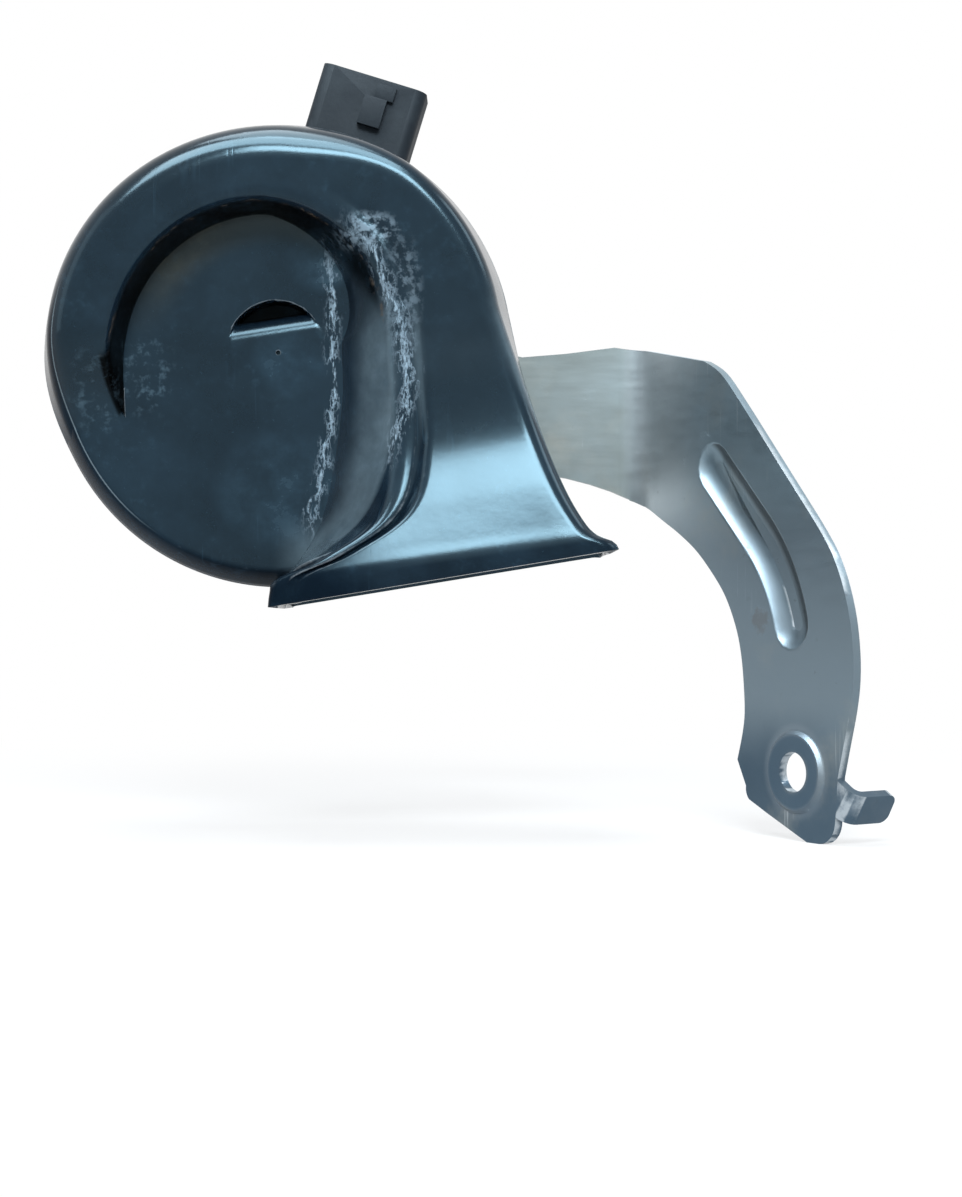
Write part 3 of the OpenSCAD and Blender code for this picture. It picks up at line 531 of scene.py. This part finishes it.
def makeBlackPaint():
    material, tree, shader, vector = newMaterial("blackPaint", Specular_IOR_Level=0.5)
    cloud = useGroup(tree, "blotches", vector, Scale=60.0, Low=0.45, High=0.7)
    colour = blend(tree, cloud, paintFinish["black"], paintFinish["faded"])
    worn = edgeMask(tree, vector, 0.16, 0.4)
    flakes = useGroup(tree, "blotches", vector, Scale=130.0, Low=0.68, High=0.73)
    bare = most(tree, times(tree, worn, 0.8), times(tree, flakes, 0.9))
    rustTone = blend(tree, noise(tree, vector, 900.0, 5.0), paintFinish["rustDark"], paintFinish["rust"])
    colour = blend(tree, bare, colour, rustTone)
    dust = useGroup(tree, "blotches", vector, Scale=300.0, Low=0.5, High=0.75)
    colour = blend(tree, times(tree, dust, 0.12), colour, paintFinish["dust"])
    join(tree, colour, shader.inputs["Base Color"])
    join(tree, scaled(tree, most(tree, bare, dust), 0.35, 0.33), shader.inputs["Roughness"])
    peel = useGroup(tree, "fineGrain", vector, Scale=520.0, Coarse=260.0, Share=0.6)
    addBump(tree, shader, minus(tree, peel, times(tree, bare, 0.7)), 0.35, 0.0002)
    return material


finish = {
    "shellFront": makeShellPlastic(True),
    "shellRear": makeShellPlastic(False),
    "plug": makePlainPlastic("plugPlastic", (0.003, 0.006, 0.01, 1), (0.01, 0.015, 0.02, 1), 0.62),
    "paint": makeBlackPaint(),
    "sheet": makeZincSheet(),
    "fastener": makeMetal("zincFastener", (0.5, 0.53, 0.55, 1), (0.3, 0.32, 0.34, 1), 0.28, 0.7, 90.0),
    "steel": makeMetal("bareSteel", (0.42, 0.42, 0.43, 1), (0.25, 0.24, 0.23, 1), 0.3, 0.6, 70.0, (1.0, 1.0, 0.1)),
    "brass": makeMetal("contactBrass", (0.66, 0.47, 0.17, 1), (0.36, 0.24, 0.1, 1), 0.26, 0.1, 120.0, (0.15, 1.0, 1.0)),
    "copper": makeMetal("copperWire", (0.62, 0.2, 0.06, 1), (0.36, 0.1, 0.03, 1), 0.22, 0.0, 160.0),
    "phenolic": makePlainPlastic("phenolic", (0.12, 0.05, 0.02, 1), (0.2, 0.1, 0.05, 1), 0.5, 1600.0),
    "nylon": makePlainPlastic("bobbinNylon", (0.5, 0.46, 0.34, 1), (0.4, 0.36, 0.25, 1), 0.45),
    "fibre": makePlainPlastic("gasketFibre", (0.06, 0.045, 0.03, 1), (0.1, 0.08, 0.06, 1), 0.85, 1900.0),
    "rubber": makePlainPlastic("sealRubber", (0.014, 0.014, 0.014, 1), (0.05, 0.05, 0.048, 1), 0.8, 1500.0),
    "lacquer": makePlainPlastic("resistorLacquer", (0.05, 0.16, 0.13, 1), (0.08, 0.2, 0.17, 1), 0.3),
}
print("finishes made:", len(finish))


# a face with more corners than "corners" is a big one: no wear at its rim, and cut up before its edges are broken
dressing = {"corners": 8, "wornAt": 0.9, "largestSmooth": 1.5e-4, "smoothCorners": 15, "merge": 2e-6, "flat": 0.6,
    "sharp": 32}


def markEdgeWear(bm):
    layer = bm.verts.layers.float.new("edgeWear")
    bm.normal_update()
    for vert in bm.verts:
        bends = [edge.calc_face_angle_signed(0) for edge in vert.link_edges if len(edge.link_faces) == 2]
        wide = any(len(face.verts) > dressing["corners"] for face in vert.link_faces)
        vert[layer] = 0.0 if wide else min(1.0, max(0.0, max(bends, default=0)) / dressing["wornAt"])


def finishPiece(name, bm, material, replaced=(), body="horn", crease=38):
    for face in bm.faces:
        face.smooth = face.calc_area() < dressing["largestSmooth"] and len(face.verts) < dressing["smoothCorners"]
    for edge in bm.edges:
        edge.smooth = len(edge.link_faces) == 2 and edge.calc_face_angle(0) < radians(crease)
    markEdgeWear(bm)
    mesh = bpy.data.meshes.new(name)
    bm.to_mesh(mesh)
    bm.free()
    mesh.materials.append(material)
    piece = bpy.data.objects.new(name, mesh)
    bpy.context.scene.collection.objects.link(piece)
    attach(piece, body)
    if replaced:
        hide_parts(*replaced)


def spinChain(bm, chain, steps, closed=False):
    # turns a chain of (radius, height) points about the horn's axis
    verts = [bm.verts.new((radius, 0, height)) for radius, height in chain]
    edges = [bm.edges.new(pair) for pair in zip(verts, verts[1:])]
    if closed:
        edges.append(bm.edges.new((verts[-1], verts[0])))
    bmesh.ops.spin(bm, geom=verts + edges, cent=(0, 0, 0), axis=(0, 0, 1), angle=2 * pi, steps=steps, use_merge=True)


def closeUp(bm, distance=1e-4):
    bmesh.ops.remove_doubles(bm, verts=bm.verts, dist=distance)
    bmesh.ops.dissolve_degenerate(bm, edges=bm.edges, dist=distance)
    bmesh.ops.recalc_face_normals(bm, faces=bm.faces)


def bevelEdges(bm, edges, width, segments):
    bmesh.ops.bevel(bm, geom=edges, offset=width, offset_type="OFFSET", segments=segments, profile=0.5,
        affect="EDGES", clamp_overlap=True, material=-1)


def joinFlat(bm):
    bmesh.ops.dissolve_limit(bm, angle_limit=radians(dressing["flat"]), verts=bm.verts, edges=bm.edges)


def mergedCopy(nodeName):
    bm = bmesh.new()
    bm.from_mesh(nodes[nodeName].data)
    bmesh.ops.remove_doubles(bm, verts=bm.verts, dist=dressing["merge"])
    joinFlat(bm)
    return bm


def bendAngle(edge):
    # angle between an edge's two faces, and 0 at an open edge
    return edge.calc_face_angle(0) if len(edge.link_faces) == 2 else 0


def breakEdges(bm, angle, width, segments):
    # big faces are cut in triangles while the edges are broken, and joined again afterwards
    bmesh.ops.triangulate(bm, faces=[face for face in bm.faces if len(face.verts) > dressing["corners"]])
    bevelEdges(bm, [edge for edge in bm.edges if bendAngle(edge) > radians(angle)], width, segments)
    joinFlat(bm)


def dressCopy(name, nodeName, material, width, segments=2):
    # a merged copy of a node's mesh, with its edges broken
    bm = mergedCopy(nodeName)
    breakEdges(bm, dressing["sharp"], width, segments)
    finishPiece(name, bm, material, (nodeName,))


snail = {
    "start": 207, "end": 10, "top": 95, "wall": 2.0, "seam": -20.0, "floor": -13.0, "rampSpan": 34,
    "ringSteps": 40, "alongSteps": 140, "innerRound": 2.2, "outerRound": 6.5, "rightRound": 2.7,
    "groove": 0.9, "grooveAt": 2.8, "grooveWidth": 0.95,
    # radii of the inner crest at the end, the top and the start, and of its foot at the end and the top
    "crest": (24.6, 30.8, 35.0), "foot": (11.2, 28.8), "footStep": 2.0,
    # radii of the outer crest and foot, and what is added to them on the left and right
    "out": 45.0, "outLeft": 1.2, "outRight": 1.6, "heel": 49.3, "startDepth": -13.5, "rear": (-22, -27.2),
    # inner foot, inner crest, outer crest, outer foot, front, rear, groove beside the inner crest, outer rounding
    "flare": [
        [11, -9.5, 25, -7.2, 49.8, -3, 51.2, -2.8, 0, -27.2, 0.9, 3.8],
        [9, -24, 25.5, -21.5, 54.4, -16.5, 55.6, -16.3, 1.2, -27.2, 1.1, 3.8],
        [6.8, -36, 22, -35, 59.2, -28.5, 60.2, -28.3, 4.3, -27.2, 1.3, 3.8],
        [3, -44.5, 10, -43.8, 63.4, -36, 64, -35.9, 6.2, -31, 1.3, 3.6],
        [-0.2, -48.4, 0.8, -48, 66.2, -38.9, 66.8, -38.8, 7.0, -33, 0.9, 3.6],
        [-0.9, -50.8, -0.1, -50.6, 69.5, -40.2, 70.0, -40.1, 7.2, -33.6, 0.4, 3.6],
        [-1.2, -53.6, -0.4, -53.4, 70.5, -41.7, 70.9, -41.6, 7.3, -34, 0.2, 3.6]],
}


def polar(radius, angle):
    return [radius * cos(radians(angle)), radius * sin(radians(angle))]


def mix(a, b, t):
    return a + (b - a) * t


def ringStation(angle):
    start, end, top = snail["start"], snail["end"], snail["top"]
    crestEnd, crestTop, crestStart = snail["crest"]
    if angle > top:
        crest = mix(crestTop, crestStart, (angle - top) / (start - top))
        foot = crest - snail["footStep"]
    else:
        risen = (angle - end) / (top - end)
        crest, foot = mix(crestEnd, crestTop, risen), mix(*snail["foot"], risen)
    rise = smoothStep(0, snail["rampSpan"], start - angle)
    left, right = smoothStep(top, 165, angle), 1 - smoothStep(50, 85, angle)
    out = snail["out"] + snail["outLeft"] * left + snail["outRight"] * right
    heel = snail["heel"] + snail["outLeft"] * left * smoothStep(0, 26, start - angle)
    return (polar(foot, angle) + polar(crest, angle) + polar(out, angle) + polar(heel, angle)
        + [snail["startDepth"] * (1 - rise), mix(*snail["rear"], (start - angle) / (start - end)),
        snail["groove"] * smoothStep(75, 15, angle), snail["outerRound"] - snail["rightRound"] * right])


def smoothStations(keys, steps):
    # cubic curve through every key, with stations spread evenly along the mean of the two crests
    length = [0]
    for a, b in zip(keys, keys[1:]):
        inner, outer = hypot(b[2] - a[2], b[3] - a[3]), hypot(b[4] - a[4], b[5] - a[5])
        length.append(length[-1] + outer * 0.5 + inner * 0.5)
    slopes = []
    for i in range(len(keys)):
        before, after = max(0, i - 1), min(len(keys) - 1, i + 1)
        slopes.append([(b - a) / (length[after] - length[before]) for a, b in zip(keys[before], keys[after])])
    stations = []
    for step in range(steps + 1):
        at = length[-1] * step / steps
        i = max(k for k in range(len(keys) - 1) if length[k] <= at + 1e-9)
        span = length[i + 1] - length[i]
        t = (at - length[i]) / span
        stations.append([(2 * t**3 - 3 * t**2 + 1) * p + (t**3 - 2 * t**2 + t) * span * mp
            + (3 * t**2 - 2 * t**3) * q + (t**3 - t**2) * span * mq
            for p, q, mp, mq in zip(keys[i], keys[i + 1], slopes[i], slopes[i + 1])])
    return stations


def roundCorner(before, corner, after, radius, steps):
    a = corner + (before - corner).normalized() * min(radius, (before - corner).length * 0.45)
    b = corner + (after - corner).normalized() * min(radius, (after - corner).length * 0.45)
    return [a.lerp(corner, t).lerp(corner.lerp(b, t), t) for t in (i / steps for i in range(steps + 1))]


def halfProfile(station, rear):
    foot, crest, out, heel = (Vector(station[i:i + 2] + [0]) for i in (0, 2, 4, 6))
    top = station[9] if rear else station[8]
    side = -1 if rear else 1
    room = min(abs(top - snail["seam"]), 7) * 0.6
    up = Vector((0, 0, 1))
    a, b = foot + up * snail["seam"], foot + up * (snail["seam"] + side * room)
    c, d, e = crest + up * top, out + up * top, heel + up * snail["seam"]
    inner = roundCorner(b, c, d, snail["innerRound"], 6)
    outer = roundCorner(c, d, e, station[11], 12)
    # the face between the crests, with the groove beside the inner one on the front only
    face = []
    width = (outer[0] - inner[-1]).length
    along = (outer[0] - inner[-1]).normalized()
    for distance in (0.8, 1.5, 2.2, 2.8, 3.4, 4.0, 4.7, 5.6):
        dip = 0 if rear else exp(-((distance - snail["grooveAt"]) / snail["grooveWidth"]) ** 2) * station[10]
        face.append(inner[-1] + along * distance * min(1, width / 10) - up * dip)
    face += [face[-1].lerp(outer[0], t) for t in (0.12, 0.28, 0.45, 0.62, 0.8, 0.92)]
    return ([a, a.lerp(b, 0.5)] + roundCorner(a, b, c, 0.8, 3) + [b.lerp(c, t) for t in (0.3, 0.5, 0.7)]
        + inner + face + outer + [d.lerp(e, t) for t in (0.45, 0.6, 0.8)] + [e])


def ductSkin(rear):
    bm = bmesh.new()
    steps = snail["ringSteps"]
    keys = [ringStation(mix(snail["start"], snail["end"], i / steps)) for i in range(steps + 1)]
    stations = smoothStations(keys + snail["flare"], snail["alongSteps"])
    profiles = [halfProfile(station, rear) for station in stations]
    rows, columns = len(profiles) - 1, len(profiles[0]) - 1
    made = bmesh.ops.create_grid(bm, x_segments=rows, y_segments=columns, size=0.5)
    for vert in made["verts"]:
        vert.co = profiles[round((vert.co.x + 0.5) * rows)][round((vert.co.y + 0.5) * columns)]
    faces = list({face for vert in made["verts"] for face in vert.link_faces})
    bmesh.ops.recalc_face_normals(bm, faces=faces)
    side = -1 if rear else 1
    outermost = max(faces, key=lambda face: face.calc_center_median().z * side)
    if outermost.normal.z * side < 0:
        bmesh.ops.reverse_faces(bm, faces=faces)
    return bm


mouthRim = {"angle": 55, "depth": 0.4, "width": 0.55}


def thickenWall(bm, wall):
    # gives the skin its wall on the inside, and rounds the rim of the mouth
    mesh = bpy.data.meshes.new("skin")
    bm.to_mesh(mesh)
    bm.free()
    skin = bpy.data.objects.new("skin", mesh)
    bpy.context.scene.collection.objects.link(skin)
    modifier = skin.modifiers.new("wall", "SOLIDIFY")
    modifier.thickness, modifier.offset, modifier.use_even_offset = wall, -1, False
    bpy.context.view_layer.update()
    walled = bmesh.new()
    walled.from_mesh(skin.evaluated_get(bpy.context.evaluated_depsgraph_get()).to_mesh())
    bpy.data.objects.remove(skin)
    left, right = Vector(snail["flare"][-1][0:2]), Vector(snail["flare"][-1][6:8])
    outward = Vector(((right - left).y, -(right - left).x)).normalized()
    rim = [edge for edge in walled.edges if edge.calc_face_angle(0) > radians(mouthRim["angle"])
        and all((vert.co.xy - left).dot(outward) > -mouthRim["depth"] for vert in edge.verts)]
    bevelEdges(walled, rim, mouthRim["width"], 3)
    return walled


sunkDisc = {"radius": 10.1, "right": -0.5, "up": 0.7, "fold": 3.4, "foldRound": 4.6, "depth": 4.8, "raised": 0.25,
    "tilt": -8.9, "pinhole": 0.45}


def discHeight(x, y):
    # tongue of the sunk disc: near the floor below, rolled over at its upper edge into a deep crescent
    dx, dy = x - sunkDisc["right"], y - sunkDisc["up"]
    high = x * sin(radians(sunkDisc["tilt"])) + y * cos(radians(sunkDisc["tilt"]))
    t = (high - sunkDisc["fold"]) / sunkDisc["foldRound"]
    soft = mix(0.9, 0.25, smoothStep(-0.2, 0.4, t))
    inside = smoothStep(sunkDisc["radius"] + soft, sunkDisc["radius"] - soft, hypot(dx, dy))
    drop = 0.05 * smoothStep(0, -9, high) - sunkDisc["raised"] * smoothStep(-5, 2, high)
    if t > 0:
        drop += sunkDisc["foldRound"] * (1 - sqrt(1 - min(t, 0.97) ** 2))
    if t >= 0.97:
        drop = sunkDisc["depth"]
    if hypot(x, y) < sunkDisc["pinhole"]:
        drop += 1.5
    return -drop * inside


def makeFrontShell():
    bm = thickenWall(ductSkin(False), snail["wall"])
    floor, seam = snail["floor"], snail["seam"]
    rings = [0.0, 0.2, 0.4, 0.5, 0.75] + [1.0 + 0.2 * i for i in range(54)] + [12.2, 13.4]
    rings += [15 + 3 * i for i in range(10)]
    top = [(radius, floor) for radius in rings]
    edge = [(45.0, floor), (45.5, floor - 0.05), (45.9, floor - 0.25), (46.3, floor - 0.7), (47.0, floor - 1.8)]
    side = [(47.9, floor - 3.5), (48.7, floor - 5.4), (49.25, seam + 0.3), (49.15, seam)]
    under = [(47.0, seam), (45.4, floor - 2.6), (44.6, floor - 2.0), (12.5, floor - 2.0), (12.0, seam + 1.5),
        (0.0, seam + 1.5)]
    spinChain(bm, top + edge + side + under, 220)
    for vert in bm.verts:
        if abs(vert.co.z - floor) < 0.01 and hypot(vert.co.x, vert.co.y) < 11.9:
            vert.co.z += discHeight(vert.co.x, vert.co.y)
    closeUp(bm)
    standUp(bm)
    finishPiece("frontShellMoulding", bm, finish["shellFront"], ("front_shell",), crease=50)


def makeRearShell():
    bm = thickenWall(ductSkin(True), snail["wall"])
    seam = snail["seam"]
    plate = [(9, seam - 0.05), (48.7, seam - 0.05), (49, seam - 0.35), (49, seam - 1.5), (48.6, seam - 2),
        (39, seam - 2)]
    skirt = [(38.3, seam - 2.2), (38, seam - 2.8), (38, -28.4), (38.3, -28.8)]
    foot = [(39.8, -28.8), (40.2, -29.2), (40.2, -30.5), (40.1, -30.6), (36, -30.6)]
    inside = [(36, seam - 2.6), (35.6, seam - 2), (9, seam - 2)]
    spinChain(bm, plate + skirt + foot + inside, 180, closed=True)
    closeUp(bm)
    standUp(bm)
    finishPiece("rearShellMoulding", bm, finish["shellRear"], ("rear_shell",), crease=50)


bentSheet = {"beadRim": 0.0007, "edge": 0.00022, "largeFace": 1.5e-4, "rimAngle": 24, "cutAngle": 62}


def makeBracket():
    # the rims of the bead and of the hole's ring are rounded wide, the cut edges narrow
    bm = mergedCopy("bracket")
    rims = [edge for edge in bm.edges
        if radians(bentSheet["rimAngle"]) < bendAngle(edge) < radians(bentSheet["cutAngle"])
        and max(face.calc_area() for face in edge.link_faces) > bentSheet["largeFace"]
        and min(len(face.verts) for face in edge.link_faces) < 5]
    bevelEdges(bm, rims, bentSheet["beadRim"], 4)
    breakEdges(bm, bentSheet["cutAngle"], bentSheet["edge"], 2)
    finishPiece("bentBracket", bm, finish["sheet"], ("bracket",))


stud = {"tip": -66, "root": -48, "coreRadius": 3.4, "crest": 3.96, "pitch": 1.25, "turns": 13, "steps": 28}


def makeStudThread():
    bm = bmesh.new()
    core, crest, pitch = stud["coreRadius"], stud["crest"], stud["pitch"]
    chain = [(core, 0), (crest, 0.5), (crest, 0.72), (core, pitch)]
    verts = [bm.verts.new((radius, 0, height + stud["tip"])) for radius, height in chain]
    edges = [bm.edges.new(pair) for pair in zip(verts, verts[1:])]
    steps = stud["steps"] * stud["turns"]
    bmesh.ops.spin(bm, geom=verts + edges, cent=(0, 0, 0), axis=(0, 0, 1), dvec=(0, 0, pitch / stud["steps"]),
        angle=2 * pi * stud["turns"], steps=steps)
    for vert in bm.verts:
        reach = max(3.0, min(4.0, 3.1 + 0.9 * (vert.co.z - stud["tip"])))
        radius = vert.co.xy.length
        if radius > reach:
            vert.co.xy *= reach / radius
    tip, root = stud["tip"], stud["root"]
    spinChain(bm, [(0, tip), (2.7, tip), (core - 0.1, tip + 0.5), (core - 0.02, tip + 0.8), (core - 0.02, root),
        (0, root)], 48)
    closeUp(bm)
    standUp(bm)
    finishPiece("studThread", bm, finish["fastener"], ("mounting_stud",))


makeFrontShell()
makeRearShell()
print("shells made")

dressCopy("plugSocket", "connector_housing", finish["plug"], 0.00035, segments=3)
makeBracket()
dressCopy("housingCup", "steel_housing", finish["paint"], 0.0003)
dressCopy("crimpedRing", "crimp_ring", finish["paint"], 0.00015)
dressCopy("stackWasher", "spring_washer", finish["fastener"], 0.0002)
dressCopy("rivetPair", "connector_rivets", finish["fastener"], 0.0002)
dressCopy("gapScrew", "adjusting_screw", finish["fastener"], 0.00015)
dressCopy("hexNut", "mounting_nut", finish["fastener"], 0.0005, segments=3)
makeStudThread()
dressCopy("sealPad", "connector_seal", finish["rubber"], 0.0001)
dressCopy("bladeLeft", "terminal_pin_left", finish["brass"], 0.0001)
dressCopy("bladeRight", "terminal_pin_right", finish["brass"], 0.0001)
print("copies dressed")

# what lies inside keeps its CAD mesh and gets a material only
nodeFinish = {"diaphragm": "steel", "diaphragm_gasket": "fibre", "housing_gasket": "fibre", "armature": "steel",
    "armature_washer": "steel", "contact_pusher": "phenolic", "pole_core": "steel",
    "coil_bobbin": "nylon", "coil_winding": "copper", "coil_leads": "copper", "contact_base": "phenolic",
    "contact_spacers": "phenolic", "fixed_contact_arm": "brass", "fixed_contact_point": "steel",
    "moving_contact_spring": "brass", "moving_contact_point": "steel", "contact_rivet": "brass",
    "resistor": "lacquer"}
for nodeName, finishName in nodeFinish.items():
    mesh = nodes[nodeName].data
    mesh.materials.clear()
    mesh.materials.append(finish[finishName])

studio = {
    "floorSize": 3.0, "floorPaint": (0.8, 0.8, 0.8, 1), "floorMiddle": (-0.06, 0.02), "whiter": (0.08, 0.34, 0.72, 1.0),
    "world": 0.3, "sky": (0.8, 0.9, 1.0, 1), "lampColour": (0.9, 0.96, 1.0), "target": (-0.07, 0.0, 0.07),
    "camera": (-0.0655, -0.4581, 0.03607), "lens": 66.3, "sensor": 36,
}
# power, size and place of each lamp
lamps = {
    "keySoftbox": (11.0, (0.46, 0.2), (-0.02, -0.78, 0.6)), "archPanel": (24.0, (0.95, 0.42), (-0.22, -0.46, 0.86)),
    "overheadSoftbox": (6.0, (0.6, 0.36), (-0.16, -0.05, 0.95)), "leftSoftbox": (0.8, (0.3, 0.8), (-0.9, -0.3, 0.35)),
    "rightSoftbox": (2.2, (0.4, 0.4), (0.72, -0.06, 0.74)),
}


def mixBySight(tree, low, high, amount=None):
    # the camera sees the second shader, straight on, mirrored and through glass, and the first one gives the light
    path = addNode(tree, "ShaderNodeLightPath").outputs
    seen = plus(tree, path["Is Camera Ray"], path["Is Glossy Ray"], path["Is Transmission Ray"])
    seen = calc(tree, "MINIMUM", seen, 1.0)
    share = addNode(tree, "ShaderNodeMixShader")
    join(tree, seen if amount is None else times(tree, seen, amount), share.inputs[0])
    join(tree, low.outputs[0], share.inputs[1])
    join(tree, high.outputs[0], share.inputs[2])
    return share.outputs[0]


def makeFloor():
    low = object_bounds()[0]
    bm = bmesh.new()
    bmesh.ops.create_grid(bm, x_segments=1, y_segments=1, size=studio["floorSize"])
    bmesh.ops.translate(bm, verts=bm.verts, vec=(0, 0, low[2]))
    mesh = bpy.data.meshes.new("paleFloor")
    bm.to_mesh(mesh)
    bm.free()
    floor = bpy.data.objects.new("paleFloor", mesh)
    bpy.context.scene.collection.objects.link(floor)
    material, tree, shader, vector = newMaterial("paleFloorPaint", Roughness=0.9, Base_Color=studio["floorPaint"])
    glow = addNode(tree, "ShaderNodeEmission", Strength=1.0)
    away = addNode(tree, "ShaderNodeVectorMath", operation="DISTANCE")
    join(tree, vector, away.inputs[0])
    join(tree, studio["floorMiddle"] + (low[2],), away.inputs[1])
    whiter = ramp(tree, away.outputs["Value"], *studio["whiter"])
    join(tree, mixBySight(tree, shader, glow, whiter), tree.nodes["Material Output"].inputs["Surface"])
    mesh.materials.append(material)


def makeWorld():
    world = bpy.data.worlds.new("studioWorld")
    bpy.context.scene.world = world
    world.use_nodes = True
    tree = world.node_tree
    sky = tree.nodes["Background"]
    join(tree, studio["sky"], sky.inputs["Color"])
    join(tree, studio["world"], sky.inputs["Strength"])
    white = addNode(tree, "ShaderNodeBackground", Color=(1, 1, 1, 1), Strength=1.0)
    join(tree, mixBySight(tree, sky, white), tree.nodes["World Output"].inputs["Surface"])


def makeLamp(name, energy, size, spot):
    data = bpy.data.lights.new(name, "AREA")
    data.energy, data.size, data.size_y, data.shape = energy, size[0], size[1], "RECTANGLE"
    data.color = studio["lampColour"]
    lamp = bpy.data.objects.new(name, data)
    lamp.location = spot
    lamp.rotation_euler = (Vector(studio["target"]) - Vector(spot)).to_track_quat("-Z", "Y").to_euler()
    bpy.context.scene.collection.objects.link(lamp)
    # the panel between the key and the overhead lamp shows in reflections alone
    lamp.visible_diffuse = name != "archPanel"


def makeCamera():
    camera = bpy.data.objects.new("photoCamera", bpy.data.cameras.new("photoCamera"))
    camera.location = studio["camera"]
    camera.rotation_euler = (radians(90), 0, 0)
    camera.data.lens = studio["lens"]
    camera.data.sensor_width = studio["sensor"]
    camera.data.clip_start = 0.01
    bpy.context.scene.collection.objects.link(camera)
    bpy.context.scene.camera = camera
    bpy.context.scene.view_settings.view_transform = "Standard"


makeFloor()
makeWorld()
for lampName, values in lamps.items():
    makeLamp(lampName, *values)
makeCamera()
print("studio ready")
